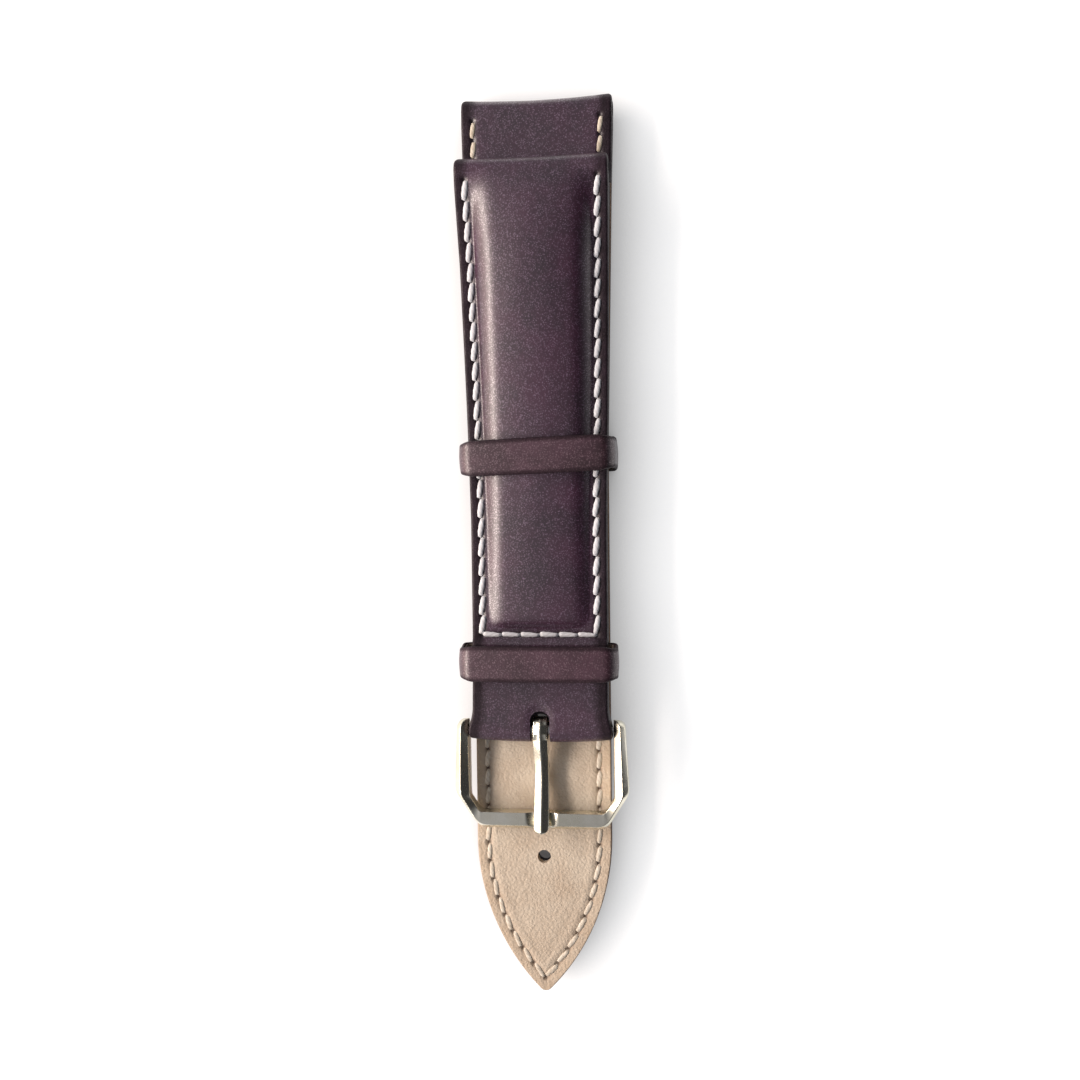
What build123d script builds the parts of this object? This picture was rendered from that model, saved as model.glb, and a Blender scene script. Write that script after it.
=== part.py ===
from build123d import *

import os
from math import atan2, degrees, floor

# A two-piece padded leather watch strap with a pin buckle, all sizes in millimetres.
# It is stored with its two pieces lining to lining: the long piece underneath, face down,
# and the short buckle piece on top, face up. The strap runs along Y, its lug ends at +Y.

# Outline of the two pieces
lug_width = 20.0            # fits between a watch's lugs
buckle_width = 18.0         # short piece at its buckle end
tail_width = 18.2           # long piece past its taper
lug_straight = 4.0          # full width kept over the spring-bar tunnel
taper_length = 47.0         # lug end to where the sides run parallel
short_length = 75.0         # lug end to the axis of the buckle's bar
long_length = 120.0
lug_step = 8.8              # the long piece's lug end stands this far past the short one's
lug_corner = 0.6
point_length = 21.0         # pointed tail
point_blunt_width = 1.6     # its tip is rounded over this width
point_blunt_length = 0.7

# Layers
face_leather = 0.9
stay_thickness = 0.3
lining_leather = 0.8
piece_gap = 0.4             # the two linings lie this far apart, over their bobbin threads
lug_crown = 4.6             # thickness over the padding near the lug end
end_crown = 3.0             # and where the padding ends
crown_edge = 2.0            # strap edge to the foot of the crown
crown_sink = 0.25           # the crown's foot starts this deep under the rim
crown_rise = 3.6            # length over which the crown climbs at the lug end
crown_fall = 3.4            # and over which it rounds off again
padding_inset = 0.5
padding_side = 0.1
long_padding_length = 58.0
padding_to_seam = 0.9       # short piece: padding ends this far before the cross seam

# Lug ends
tunnel_radius = 0.95        # for a 1.8 mm spring bar
rim_slope = 12.0            # from the lug roll to the plain rim
turned_length = 12.0        # face leather turned over on to the lining side
tunnel_backing = 0.7        # leather behind the tunnel, before the stay

# Fold round the buckle's bar
fold_leather = 0.8
fold_length = 12.7          # cross seam to the bar's axis
fold_clearance = 0.2        # each side of the fold's end, inside the frame's arms
flare_length = 2.6
tongue_slot_width = 2.7
tongue_slot_length = 3.3    # behind the bar's axis
fold_ramp = 0.7             # the top layer climbs over the keeper's back band in this length

# Punched holes
hole_count = 7
hole_diameter = 1.8
first_hole = 18.5           # from the tip
hole_pitch = 6.25

# Keepers
keeper_cover = 0.45
keeper_liner = 0.3
keeper_play = 0.2           # above and below the padded pieces
keeper_corner = 1.7         # outside, at the front
free_keeper_back = 1.7      # outside, at the back
fixed_keeper_back = 1.2     # its back band lies flat in the fold
free_keeper_length = 4.7    # along the strap
free_keeper_width = 18.8    # inside
free_keeper_place = 38.8    # short piece's lug end to its middle
free_keeper_up = 2.5        # travel towards the lugs
fixed_keeper_length = 4.7
fixed_keeper_width = 19.2   # inside
fixed_keeper_place = 9.2    # bar axis to its middle
fixed_keeper_room = 2.3     # height left for the tail to pass

# Seams
short_seam_inset = 1.4      # strap edge to the seam
long_seam_inset = 1.55
seam_start = 3.0            # first stitch, from the lug end
stitch_pitch = 2.55
stitch_length = 2.0
stitch_width = 0.55
stitch_height = 0.15
stitch_slant = 8.0          # degrees
stitch_seat = 0.02          # under the stitches

# Spring bar of the buckle
bar_radius = 0.75
bar_play = 0.06
bar_end_gap = 0.65          # each end of the barrel to the frame
bar_bore_radius = 0.56
bar_crimp = 0.4
tip_radius = 0.4
tip_play = 0.05
tip_reach = 0.9             # into the frame
tip_collar_radius = 0.5
tip_collar_length = 0.8
tip_seat = 0.02
spring_wire_radius = 0.08
spring_turns = 9

# Buckle frame
frame_window = 19.3
frame_arm_width = 2.0
frame_arm_radius = 1.4
frame_reach = 13.4          # bar axis to the outer edge of the cross bar
cross_bar_width = 2.3
frame_flare = 0.5           # each arm widens outwards by this from the bar to its bevel
frame_bevel_length = 5.0    # bevelled corner, along the arm
frame_bevel_width = 3.1     # and across it
frame_bevel_round = 2.4     # at the two ends of the bevel
frame_corner_wall = 1.35    # between the outer bevel and the window's, which runs beside it
window_bevel_round = 0.9
arm_end_round = 1.1         # outer corner of an arm's end, seen from above
frame_under = 1.6           # underside of the cross bar below the bar's axis
frame_over = 0.3            # its top above that axis
frame_arch = 1.1            # arm's top above the axis, half way along
frame_facet = 0.6           # the bevels along the top and the underside
notch_width = 4.2           # a round hollow that the tongue rests in
notch_depth = 0.5

# Buckle tongue
tongue_width = 2.1
tongue_thickness = 1.1
tongue_ridge = 0.1          # how far the ridge stands to one side
tongue_side = 0.7           # height of the tongue's sides below its facets
tongue_heel = 0.5           # the shank starts this far behind the bar's axis
tongue_eye_radius = 1.75
tongue_eye_width = 1.9
tongue_gap = 0.22           # the eye is rolled from the shank's root and its end stays open
tongue_gap_angle = 26.0     # degrees behind the top
tongue_dip = 0.1            # centreline under the bar's axis at the lowest point
tongue_overhang = 1.5       # past the middle of the cross bar
tongue_rest = 0.05          # gap over the notch

# Shares of the sizes that they follow
facet_wall_share = 0.45     # the most that a bevel takes of the wall at the frame's corner
shoulder_width_share = 0.62
shoulder_height_share = 0.84
fall_place_shares = [0, 0.5, 0.85, 1]
fall_height_shares = [1, 0.87, 0.53, 0]
tongue_dip_share = 0.6      # of the way to the cross bar
overrun = 5.0               # how far every cut runs past what it cuts

# Worked out from the sizes above
lining_top = lining_leather
stay_top = lining_leather + stay_thickness
rim_thickness = stay_top + face_leather
lug_roll = tunnel_radius + face_leather
stay_start = lug_roll + tunnel_radius + tunnel_backing
fold_roll = bar_radius + bar_play + fold_leather
cross_seam = short_length - fold_length
short_padding_end = cross_seam - padding_to_seam
keeper_wall = keeper_cover + keeper_liner
band_bottom = fold_leather
band_top = band_bottom + keeper_wall
fold_top = band_top + face_leather
eye_bore = bar_radius + bar_play
frame_width = frame_window + 2 * frame_arm_width
fold_flare = frame_window - 2 * fold_clearance
bar_length = frame_window - 2 * bar_end_gap
tip_out = frame_window / 2 + tip_reach
frame_sill = frame_reach - cross_bar_width
cross_bar_middle = frame_sill + cross_bar_width / 2
notch_radius = (notch_width ** 2 / 4 + notch_depth ** 2) / (2 * notch_depth)

# The side view's plane has the distance from the lug end and the height above the lining
side_plane = Plane(origin=(0, 0, 0), x_dir=(0, -1, 0), z_dir=(-1, 0, 0))


def across(distance):
    """The plane square to the strap at a distance from the lug end."""
    return Plane(origin=(0, -distance, 0), x_dir=(1, 0, 0), z_dir=(0, -1, 0))


def half_width(distance, end_width):
    """Half the strap's width at a distance from the lug end."""
    along = (distance - lug_straight) / (taper_length - lug_straight)
    share = min(max(along, 0), 1)
    return (lug_width + (end_width - lug_width) * share) / 2


def rim_height(distance):
    """Height of the rim: thick over the tunnel, then sloping down to the plain layers."""
    share = min(max((distance - lug_roll) / rim_slope, 0), 1)
    return 2 * lug_roll + (rim_thickness - 2 * lug_roll) * share


def crown_height(distance, padding_end):
    """Height of the crown's middle over the padding."""
    peak = lug_roll + crown_rise
    share = min(max((distance - peak) / (padding_end - crown_fall - peak), 0), 1)
    return lug_crown + (end_crown - lug_crown) * share


# Shapes that both pieces share

def sides_down(end_width, far_points):
    """Plan outline: lug edge, taper, then the given points of the right side, mirrored."""
    right = [(lug_width / 2, 0), (lug_width / 2, -lug_straight), (end_width / 2, -taper_length)]
    right += far_points
    left = [(-x, y) for x, y in reversed(right)]
    plan = make_face(Polyline(*right, *left, close=True))
    return fillet(plan.vertices().sort_by(Axis.Y)[-2:], lug_corner)


def short_plan():
    straight_end = short_length - flare_length
    return sides_down(buckle_width, [
        (buckle_width / 2, -straight_end),
        (fold_flare / 2, -short_length),
        (fold_flare / 2, -short_length - fold_roll),
    ])


def long_plan(inset=0):
    """The long piece's outline with its pointed tail, which is an arch of two arcs."""
    half = tail_width / 2
    start = long_length - point_length
    body = sides_down(tail_width, [(half, -start)])
    blunt = (point_blunt_width / 2, -long_length + point_blunt_length)
    side = TangentArc((half, -start), blunt, tangent=(0, -1))
    other = side.mirror(Plane.YZ)
    tip = ThreePointArc(side @ 1, (0, -long_length), other @ 1)
    arch = make_face([side, tip, other, Line((-half, -start), (half, -start))])
    whole = body + arch
    return offset(whole, -inset) if inset else whole


def crown_section(distance, half, base, foot, top):
    """One cross-section of the crown: upright foot, tangent shoulders and a flatter top."""
    shoulder = (half * shoulder_width_share, foot + (top - foot) * shoulder_height_share)
    over = ThreePointArc((-shoulder[0], shoulder[1]), (0, top), shoulder)
    right = TangentArc(shoulder, (half, foot), tangent=over % 1)
    left = right.mirror(Plane.YZ)
    section = make_face([
        over,
        right,
        left,
        Line((half, foot), (half, base)),
        Line((half, base), (-half, base)),
        Line((-half, base), (-half, foot)),
    ])
    return across(distance) * section


def run_out(start, end, high, low):
    """Stations where a crown rounds off from one height to another."""
    return [
        (start + (end - start) * along, low + (high - low) * up)
        for along, up in zip(fall_place_shares, fall_height_shares)
    ]


def crown(end_width, padding_end):
    """The face leather's crown, from under the rim at the lug end to under it past the padding."""
    peak = lug_roll + crown_rise
    low = rim_thickness - crown_sink / 2
    stations = [
        (lug_roll, 2 * lug_roll - crown_sink / 4),
        ((lug_roll + peak) / 2, crown_height(peak, padding_end) - (lug_crown - 2 * lug_roll) / 4),
        (peak, crown_height(peak, padding_end)),
        (taper_length, crown_height(taper_length, padding_end)),
    ]
    stations += run_out(padding_end - crown_fall, padding_end, end_crown, low)
    sections = [
        crown_section(
            place,
            half_width(place, end_width) - crown_edge,
            stay_top,
            rim_height(place) - crown_sink,
            top,
        )
        for place, top in sorted(stations)
    ]
    return loft(sections, ruled=True)


def padding(end_width, padding_end):
    """The filler under the crown, one leather's thickness inside it."""
    start = max(stay_start, lug_roll + crown_rise / 2)
    peak = max(lug_roll + crown_rise, start + face_leather)
    low = stay_top + 2 * padding_side
    stations = [
        (start, (low + lug_crown - face_leather) / 2),
        (peak, crown_height(peak, padding_end) - face_leather),
        (taper_length, crown_height(taper_length, padding_end) - face_leather),
    ]
    fall, end = padding_end - crown_fall, padding_end - face_leather
    stations += run_out(fall, end, end_crown - face_leather, low)
    sections = [
        crown_section(
            place,
            half_width(place, end_width) - crown_edge - padding_inset,
            stay_top,
            stay_top + padding_side,
            top,
        )
        for place, top in sorted(stations)
    ]
    return loft(sections, ruled=True)


def slab(plan, bottom, top):
    return extrude(Pos(0, 0, bottom) * plan, top - bottom)


def stretch(start, end, bottom, top):
    """A full-width block between two distances from the lug end."""
    width = lug_width + 2 * overrun
    block = Box(width, end - start, top - bottom)
    return Pos(0, -(start + end) / 2, (bottom + top) / 2) * block


def side_block(edges):
    """A side-view outline, run the full width of the strap."""
    return extrude(side_plane * make_face(edges), lug_width, both=True)


def lug_roll_edges():
    """Side view of the leather going round the tunnel, from the lining side to the face."""
    return [
        ThreePointArc((lug_roll, 0), (0, lug_roll), (lug_roll, 2 * lug_roll)),
        Line((lug_roll, 2 * lug_roll), (lug_roll + rim_slope, rim_thickness)),
    ]


def tunnel():
    bore = Cylinder(tunnel_radius, lug_width + 2 * overrun, rotation=(0, 90, 0))
    return Pos(0, -lug_roll, lug_roll) * bore


def strap_holes():
    """The row of punched holes, counted from the tip."""
    hole = Cylinder(hole_diameter / 2, 2 * (lug_crown + overrun))
    places = [first_hole + hole_pitch * k for k in range(hole_count)]
    return [Pos(0, place - long_length, 0) * hole for place in places]


# The layers of each piece, face up, with the lug end at Y 0 and the lining side at Z 0

def short_side():
    """Side view of the short piece's leather, lug roll to buckle fold."""
    behind = short_length - fixed_keeper_place - fixed_keeper_length / 2
    ahead = short_length - fixed_keeper_place + fixed_keeper_length / 2
    fold_end = (short_length, 2 * fold_roll)
    return side_block([
        *lug_roll_edges(),
        Polyline(
            (lug_roll + rim_slope, rim_thickness),
            (behind - fold_ramp, rim_thickness),
            (behind, fold_top),
            (ahead, fold_top),
            fold_end,
        ),
        ThreePointArc(fold_end, (short_length + fold_roll, fold_roll), (short_length, 0)),
        Line((short_length, 0), (lug_roll, 0)),
    ])


def long_side():
    return side_block([
        *lug_roll_edges(),
        Polyline(
            (lug_roll + rim_slope, rim_thickness),
            (long_length + overrun, rim_thickness),
            (long_length + overrun, 0),
            (lug_roll, 0),
        ),
    ])


def keeper_band_space():
    """The pocket in the fold that holds the fixed keeper's back band."""
    middle = short_length - fixed_keeper_place
    reach = fixed_keeper_length / 2
    return stretch(middle - reach, middle + reach, band_bottom, band_top)


def bar_space():
    bore = Cylinder(eye_bore, lug_width + 2 * overrun, rotation=(0, 90, 0))
    return Pos(0, -short_length, fold_roll) * bore


def tongue_space():
    """The slot in the fold that the tongue's eye turns in, with a punched round end."""
    length = tongue_slot_length + fold_roll + overrun
    slot = SlotOverall(length, tongue_slot_width, rotation=90)
    middle = -short_length + tongue_slot_length - length / 2
    return Pos(0, middle, 0) * extrude(slot, fold_roll + overrun, both=True)


def short_layers():
    plan = short_plan()
    body = short_side() & slab(plan, -overrun, lug_crown + overrun)
    pad = padding(buckle_width, short_padding_end)
    lining = slab(plan, 0, lining_top) & stretch(turned_length, cross_seam, 0, lining_top)
    stay = slab(plan, lining_top, stay_top) & stretch(stay_start, cross_seam, lining_top, stay_top)
    upper = body + crown(buckle_width, short_padding_end)
    upper = upper - [pad, lining, stay, tunnel()]
    upper = upper - [keeper_band_space(), bar_space(), tongue_space()]
    return upper, pad, stay, lining


def long_layers():
    plan = long_plan()
    body = long_side() & slab(plan, -overrun, lug_crown + overrun)
    pad = padding(tail_width, long_padding_length)
    far = long_length + overrun
    lining = slab(plan, 0, lining_top) & stretch(turned_length, far, 0, lining_top)
    stay = slab(plan, lining_top, stay_top) & stretch(stay_start, far, lining_top, stay_top)
    upper = body + crown(tail_width, long_padding_length)
    upper = upper - [pad, lining, stay, tunnel()]
    holes = strap_holes()
    return upper - holes, pad, stay - holes, lining - holes


# Seams, each stitch a small solid lying on the leather

def stitch():
    """One stitch, pointed at both ends, lying along X on Z 0."""
    length, width = stitch_length / 2, stitch_width / 2
    shape = make_face(Polyline(
        (-length, 0), (-length / 2, -width), (length / 2, -width),
        (length, 0), (length / 2, width), (-length / 2, width), close=True,
    ))
    return Rot(0, 0, stitch_slant) * extrude(shape, stitch_height)


def seam(path, on_face):
    """Stitches evenly spaced along a closed seam line, left open across the lug end."""
    count = floor(path.length / stitch_pitch)
    one = stitch() if on_face else mirror(stitch(), Plane.XY)
    row = []
    for k in range(count):
        place = path.position_at(k / count)
        run = path.tangent_at(k / count)
        distance = -place.Y
        if distance < seam_start:
            continue
        height = rim_height(distance) + stitch_seat if on_face else -stitch_seat
        sloping = on_face and distance < lug_roll + rim_slope
        tilt = degrees(atan2(2 * lug_roll - rim_thickness, rim_slope)) if sloping else 0
        turn = degrees(atan2(run.Y, run.X))
        row.append(Pos(place.X, place.Y, height) * Rot(tilt, 0, 0) * Rot(0, 0, turn) * one)
    return Compound(children=row)


def short_seam_line():
    """Both sides and the cross row before the fold."""
    plan = sides_down(buckle_width, [(buckle_width / 2, -cross_seam - short_seam_inset)])
    return offset(plan, -short_seam_inset).wire()


def long_seam_line():
    return long_plan(long_seam_inset).wire()


# Keepers

def ring_section(width, height, wall, back_corner):
    """The outline of a loop, a wall outside its opening, seen along the strap."""
    section = Rectangle(width + 2 * wall, height + 2 * wall)
    inset = keeper_wall - wall
    front = section.vertices().sort_by(Axis.Y)[-2:]
    section = fillet(front, keeper_corner - inset)
    back = section.vertices().sort_by(Axis.Y)[:2]
    return fillet(back, back_corner - inset)


def keeper(width, height, length, back_corner):
    """A closed loop of two leathers: cover outside, liner inside, square to the strap."""
    outer = ring_section(width, height, keeper_wall, back_corner)
    between = ring_section(width, height, keeper_liner, back_corner)
    inner = ring_section(width, height, 0, back_corner)
    cover = extrude(Plane.XZ * (outer - between), length / 2, both=True)
    liner = extrude(Plane.XZ * (between - inner), length / 2, both=True)
    return cover, liner


def free_keeper(low, high, place):
    """The loop that slides, round both pieces, between two heights at a place along Y."""
    cover, liner = keeper(free_keeper_width, high - low, free_keeper_length, free_keeper_back)
    where = Pos(0, place, (low + high) / 2)
    return where * cover, where * liner


def fixed_keeper(low, place):
    """The loop by the buckle: its back band lies in the fold, its front leaves room for a tail."""
    height = fold_top - band_top + fixed_keeper_room
    cover, liner = keeper(fixed_keeper_width, height, fixed_keeper_length, fixed_keeper_back)
    where = Pos(0, place, low + band_top + height / 2)
    return where * cover, where * liner


# Buckle, with the bar's axis along X at Y 0 and Z 0 and the cross bar towards -Y

def frame_plate():
    """Outer outline with bevelled corners."""
    outside = frame_width / 2
    outline = Polyline(
        (outside - frame_flare, frame_arm_radius),
        (outside, -frame_reach + frame_bevel_length),
        (outside - frame_bevel_width, -frame_reach),
        (-outside + frame_bevel_width, -frame_reach),
        (-outside, -frame_reach + frame_bevel_length),
        (-outside + frame_flare, frame_arm_radius),
        close=True,
    )
    plate = make_face(outline)
    return fillet(plate.vertices().sort_by(Axis.Y)[:4], frame_bevel_round)


def window_bevel():
    """Length along the arm and width across it of the window's bevel, at the corner wall."""
    long, wide = frame_bevel_length, frame_bevel_width
    wall_along = frame_corner_wall * (long ** 2 + wide ** 2) ** 0.5 / wide
    length = long + wall_along - frame_arm_width * long / wide - cross_bar_width
    return length, length * wide / long


def frame_plan():
    """The plate less its window, open towards the strap."""
    inside = frame_window / 2
    bevel_length, bevel_width = window_bevel()
    window = Polyline(
        (inside, frame_arm_radius + overrun),
        (inside, -frame_sill + bevel_length),
        (inside - bevel_width, -frame_sill),
        (-inside + bevel_width, -frame_sill),
        (-inside, -frame_sill + bevel_length),
        (-inside, frame_arm_radius + overrun),
        close=True,
    )
    opening = make_face(window)
    opening = fillet(opening.vertices().sort_by(Axis.Y)[:4], window_bevel_round)
    return frame_plate() - opening


def frame_arch_curve():
    """The arched top in the side view, from the bar's axis to the cross bar's outer edge."""
    return ThreePointArc(
        (0, frame_arm_radius), (frame_reach / 2, frame_arch), (frame_reach, frame_over)
    )


def frame_top_at(reach):
    """Height of the frame's arched top above the bar's axis, at a distance from it."""
    arch = frame_arch_curve()
    middle, radius = arch.arc_center, arch.radius
    return middle.Y + (radius ** 2 - (reach - middle.X) ** 2) ** 0.5


def frame_side():
    """Side view: round the bar, then one arched top down to the thinner cross bar."""
    far = frame_reach
    edges = [
        ThreePointArc((0, -frame_arm_radius), (-frame_arm_radius, 0), (0, frame_arm_radius)),
        frame_arch_curve(),
        Line((far, frame_over), (far, -frame_under)),
        Line((far, -frame_under), (far / 2, -frame_under)),
        Line((far / 2, -frame_under), (0, -frame_arm_radius)),
    ]
    return side_plane * make_face(edges)


def arch_side():
    """Side view of a bar under the arched top, run on square past the arms' ends."""
    start, far = -frame_arm_radius, frame_reach
    edges = [
        ThreePointArc(
            (start, frame_top_at(start)), (frame_reach / 2, frame_arch), (far, frame_over)
        ),
        Polyline(
            (far, frame_over), (far, -frame_under), (start, -frame_under),
            (start, frame_top_at(start))
        ),
    ]
    return side_plane * make_face(edges)


def buckle_frame():
    height = 2 * frame_arm_radius + frame_under
    frame = extrude(arch_side(), frame_width, both=True) & extrude(frame_plan(), height, both=True)
    top = frame.faces().filter_by(GeomType.CYLINDER).sort_by(Axis.Z)[-1]
    bottom = frame.faces().sort_by(Axis.Z)[0]
    edges = top.edges().sort_by(Axis.Y)[:-2] + bottom.edges().sort_by(Axis.Y)[:-2]
    frame = chamfer(edges, min(frame_facet, facet_wall_share * frame_corner_wall))
    frame = frame & extrude(frame_side(), frame_width, both=True)
    plate = frame_plate()
    plate = fillet(plate.vertices().sort_by(Axis.Y)[-2:], arm_end_round)
    frame = frame & extrude(plate, height, both=True)
    hole = Cylinder(tip_radius + tip_play, 2 * (tip_out + tip_play), rotation=(0, 90, 0))
    groove = Cylinder(notch_radius, cross_bar_width + overrun, rotation=(90, 0, 0))
    return frame - [hole, Pos(0, -cross_bar_middle, notch_floor() + notch_radius) * groove]


def notch_floor():
    return frame_top_at(cross_bar_middle) - notch_depth


def tongue_path():
    """Side view of the tongue's centreline: off the eye's top, a dip, then up on to the cross bar."""
    corner_rise = notch_radius - (notch_radius ** 2 - tongue_width ** 2 / 4) ** 0.5
    rest = notch_floor() + corner_rise + tongue_rest + tongue_thickness / 2
    start = (-tongue_heel, (tongue_eye_radius + eye_bore) / 2)
    dip = (frame_sill * tongue_dip_share, -tongue_dip)
    arc = ThreePointArc(start, dip, (frame_sill, rest))
    tip = arc @ 1 + (arc % 1) * (cross_bar_width / 2 + tongue_overhang)
    return arc, Line(arc @ 1, tip)


def buckle_tongue():
    """The shank's two facets are swept along its centreline, and its eye goes round the bar."""
    arc, end = tongue_path()
    path = side_plane * Wire([arc, end])
    half, low = tongue_width / 2, -tongue_thickness / 2
    roof = make_face(Polyline(
        (-half, low), (half, low), (half, low + tongue_side),
        (tongue_ridge, -low), (-half, low + tongue_side), close=True,
    ))
    start = path.position_at(0)
    run = path.tangent_at(0)
    across_path = Plane(origin=start, x_dir=(1, 0, 0), z_dir=run)
    shank = sweep(across_path * roof, path=path)
    eye = Cylinder(tongue_eye_radius, tongue_eye_width, rotation=(0, 90, 0))
    bore = Cylinder(eye_bore, 2 * tongue_width, rotation=(0, 90, 0))
    length = tongue_heel + cross_bar_middle + tongue_overhang
    trim = SlotOverall(length, tongue_width, rotation=90)
    trim = Pos(0, tongue_heel - length / 2, 0) * trim
    shank = shank & extrude(trim, 2 * frame_reach, both=True)
    wall = tongue_eye_radius - eye_bore
    gap = Pos(0, 0, eye_bore + wall / 2) * Box(2 * tongue_width, tongue_gap, 2 * wall)
    return shank + eye - [bore, Rot(-tongue_gap_angle, 0, 0) * gap]


def bar_barrel():
    """A tube whose ends are turned in round the tips."""
    tube = Cylinder(bar_radius, bar_length) - Cylinder(bar_bore_radius, bar_length - 2 * bar_crimp)
    tube = tube - Cylinder(tip_radius + tip_play, bar_length + overrun)
    return Rot(0, 90, 0) * tube


def bar_tip():
    """The tip at +X: a rounded pin, with a collar that stays behind the turned-in end."""
    inner = bar_length / 2 - bar_crimp - tip_seat
    pin = Cylinder(tip_radius, tip_out - inner, align=(Align.CENTER, Align.CENTER, Align.MIN))
    pin = fillet(pin.edges().sort_by(Axis.Z)[-1:], tip_radius / 2)
    collar = Cylinder(
        tip_collar_radius, tip_collar_length, align=(Align.CENTER, Align.CENTER, Align.MAX)
    )
    return Rot(0, 90, 0) * Pos(0, 0, inner) * (pin + collar)


def bar_spring():
    """The coil between the two tips' collars."""
    radius = tip_collar_radius - spring_wire_radius
    collar = bar_length / 2 - bar_crimp - tip_seat - tip_collar_length
    length = 2 * (collar - spring_wire_radius - tip_seat)
    coil = Helix(length / spring_turns, length, radius)
    wire = sweep(
        Plane(origin=coil @ 0, z_dir=coil % 0) * Circle(spring_wire_radius),
        path=coil,
        is_frenet=True,
    )
    return Rot(0, 90, 0) * Pos(0, 0, -length / 2) * wire


# Everything in place: the long piece rests on its crown and the free keeper on its back band

long_lug = long_length / 2
short_lug = long_lug - lug_step
bar_y = short_lug - short_length
keeper_y = short_lug - free_keeper_place
keeper_short = free_keeper_place - free_keeper_length / 2 - free_keeper_up
keeper_long = keeper_short + lug_step
keeper_under = crown_height(keeper_long, long_padding_length) + keeper_play
lining_plane = max(lug_crown, keeper_under + keeper_wall)
short_plane = lining_plane + piece_gap
keeper_over = crown_height(keeper_short, short_padding_end) + keeper_play
bar_z = short_plane + fold_roll

face_up = Pos(0, short_lug, short_plane)
face_down = Pos(0, long_lug, lining_plane) * Rot(0, 180, 0)
at_bar = Pos(0, bar_y, bar_z)

short_upper, short_pad, short_stay, short_lining = short_layers()
long_upper, long_pad, long_stay, long_lining = long_layers()
free_cover, free_liner = free_keeper(
    lining_plane - keeper_under, short_plane + keeper_over, keeper_y
)
fixed_cover, fixed_liner = fixed_keeper(short_plane, bar_y + fixed_keeper_place)
tip = bar_tip()

parts = {
    "long_upper": face_down * long_upper,
    "long_padding": face_down * long_pad,
    "long_stay": face_down * long_stay,
    "long_lining": face_down * long_lining,
    "long_thread_face": face_down * seam(long_seam_line(), True),
    "long_thread_back": face_down * seam(long_seam_line(), False),
    "short_upper": face_up * short_upper,
    "short_padding": face_up * short_pad,
    "short_stay": face_up * short_stay,
    "short_lining": face_up * short_lining,
    "short_thread_face": face_up * seam(short_seam_line(), True),
    "short_thread_back": face_up * seam(short_seam_line(), False),
    "fixed_keeper_cover": fixed_cover,
    "fixed_keeper_liner": fixed_liner,
    "free_keeper_cover": free_cover,
    "free_keeper_liner": free_liner,
    "buckle_frame": at_bar * buckle_frame(),
    "buckle_tongue": at_bar * buckle_tongue(),
    "bar_barrel": at_bar * bar_barrel(),
    "bar_tip_right": at_bar * tip,
    "bar_tip_left": at_bar * mirror(tip, Plane.YZ),
    "bar_spring": at_bar * bar_spring(),
}

os.makedirs("parts", exist_ok=True)
for name, shape in parts.items():
    export_step(shape, f"parts/{name}.step")

print("lining plane", lining_plane, "bar axis", bar_y, bar_z, "free keeper", keeper_y)
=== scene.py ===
from math import cos, pi, radians, sin

import bmesh
import bpy
import numpy as np
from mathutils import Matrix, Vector


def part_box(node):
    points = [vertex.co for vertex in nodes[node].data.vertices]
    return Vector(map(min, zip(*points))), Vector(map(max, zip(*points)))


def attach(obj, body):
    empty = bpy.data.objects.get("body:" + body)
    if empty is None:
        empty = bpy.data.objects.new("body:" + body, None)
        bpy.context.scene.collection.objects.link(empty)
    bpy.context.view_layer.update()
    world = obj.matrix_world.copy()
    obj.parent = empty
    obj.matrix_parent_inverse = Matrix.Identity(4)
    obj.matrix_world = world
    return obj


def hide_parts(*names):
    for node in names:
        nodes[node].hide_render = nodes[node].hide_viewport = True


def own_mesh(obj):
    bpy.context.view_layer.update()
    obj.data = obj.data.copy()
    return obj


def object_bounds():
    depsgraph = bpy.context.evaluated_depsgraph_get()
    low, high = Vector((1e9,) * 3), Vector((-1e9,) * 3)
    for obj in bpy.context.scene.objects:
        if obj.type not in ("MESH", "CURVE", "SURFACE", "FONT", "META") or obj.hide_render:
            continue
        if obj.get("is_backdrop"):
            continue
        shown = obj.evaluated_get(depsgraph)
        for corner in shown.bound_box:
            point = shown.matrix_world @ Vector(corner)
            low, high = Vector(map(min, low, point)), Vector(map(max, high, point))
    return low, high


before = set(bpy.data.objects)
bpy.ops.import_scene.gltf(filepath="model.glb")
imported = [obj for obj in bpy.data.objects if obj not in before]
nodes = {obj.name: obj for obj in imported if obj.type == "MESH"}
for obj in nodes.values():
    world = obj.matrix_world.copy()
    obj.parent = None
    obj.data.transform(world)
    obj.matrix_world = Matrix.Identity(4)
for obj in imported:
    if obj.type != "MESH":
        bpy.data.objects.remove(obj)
cadBox = [list(corner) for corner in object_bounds()]
mm = 0.001
print("frame loaded,", len(nodes), "nodes")

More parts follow.
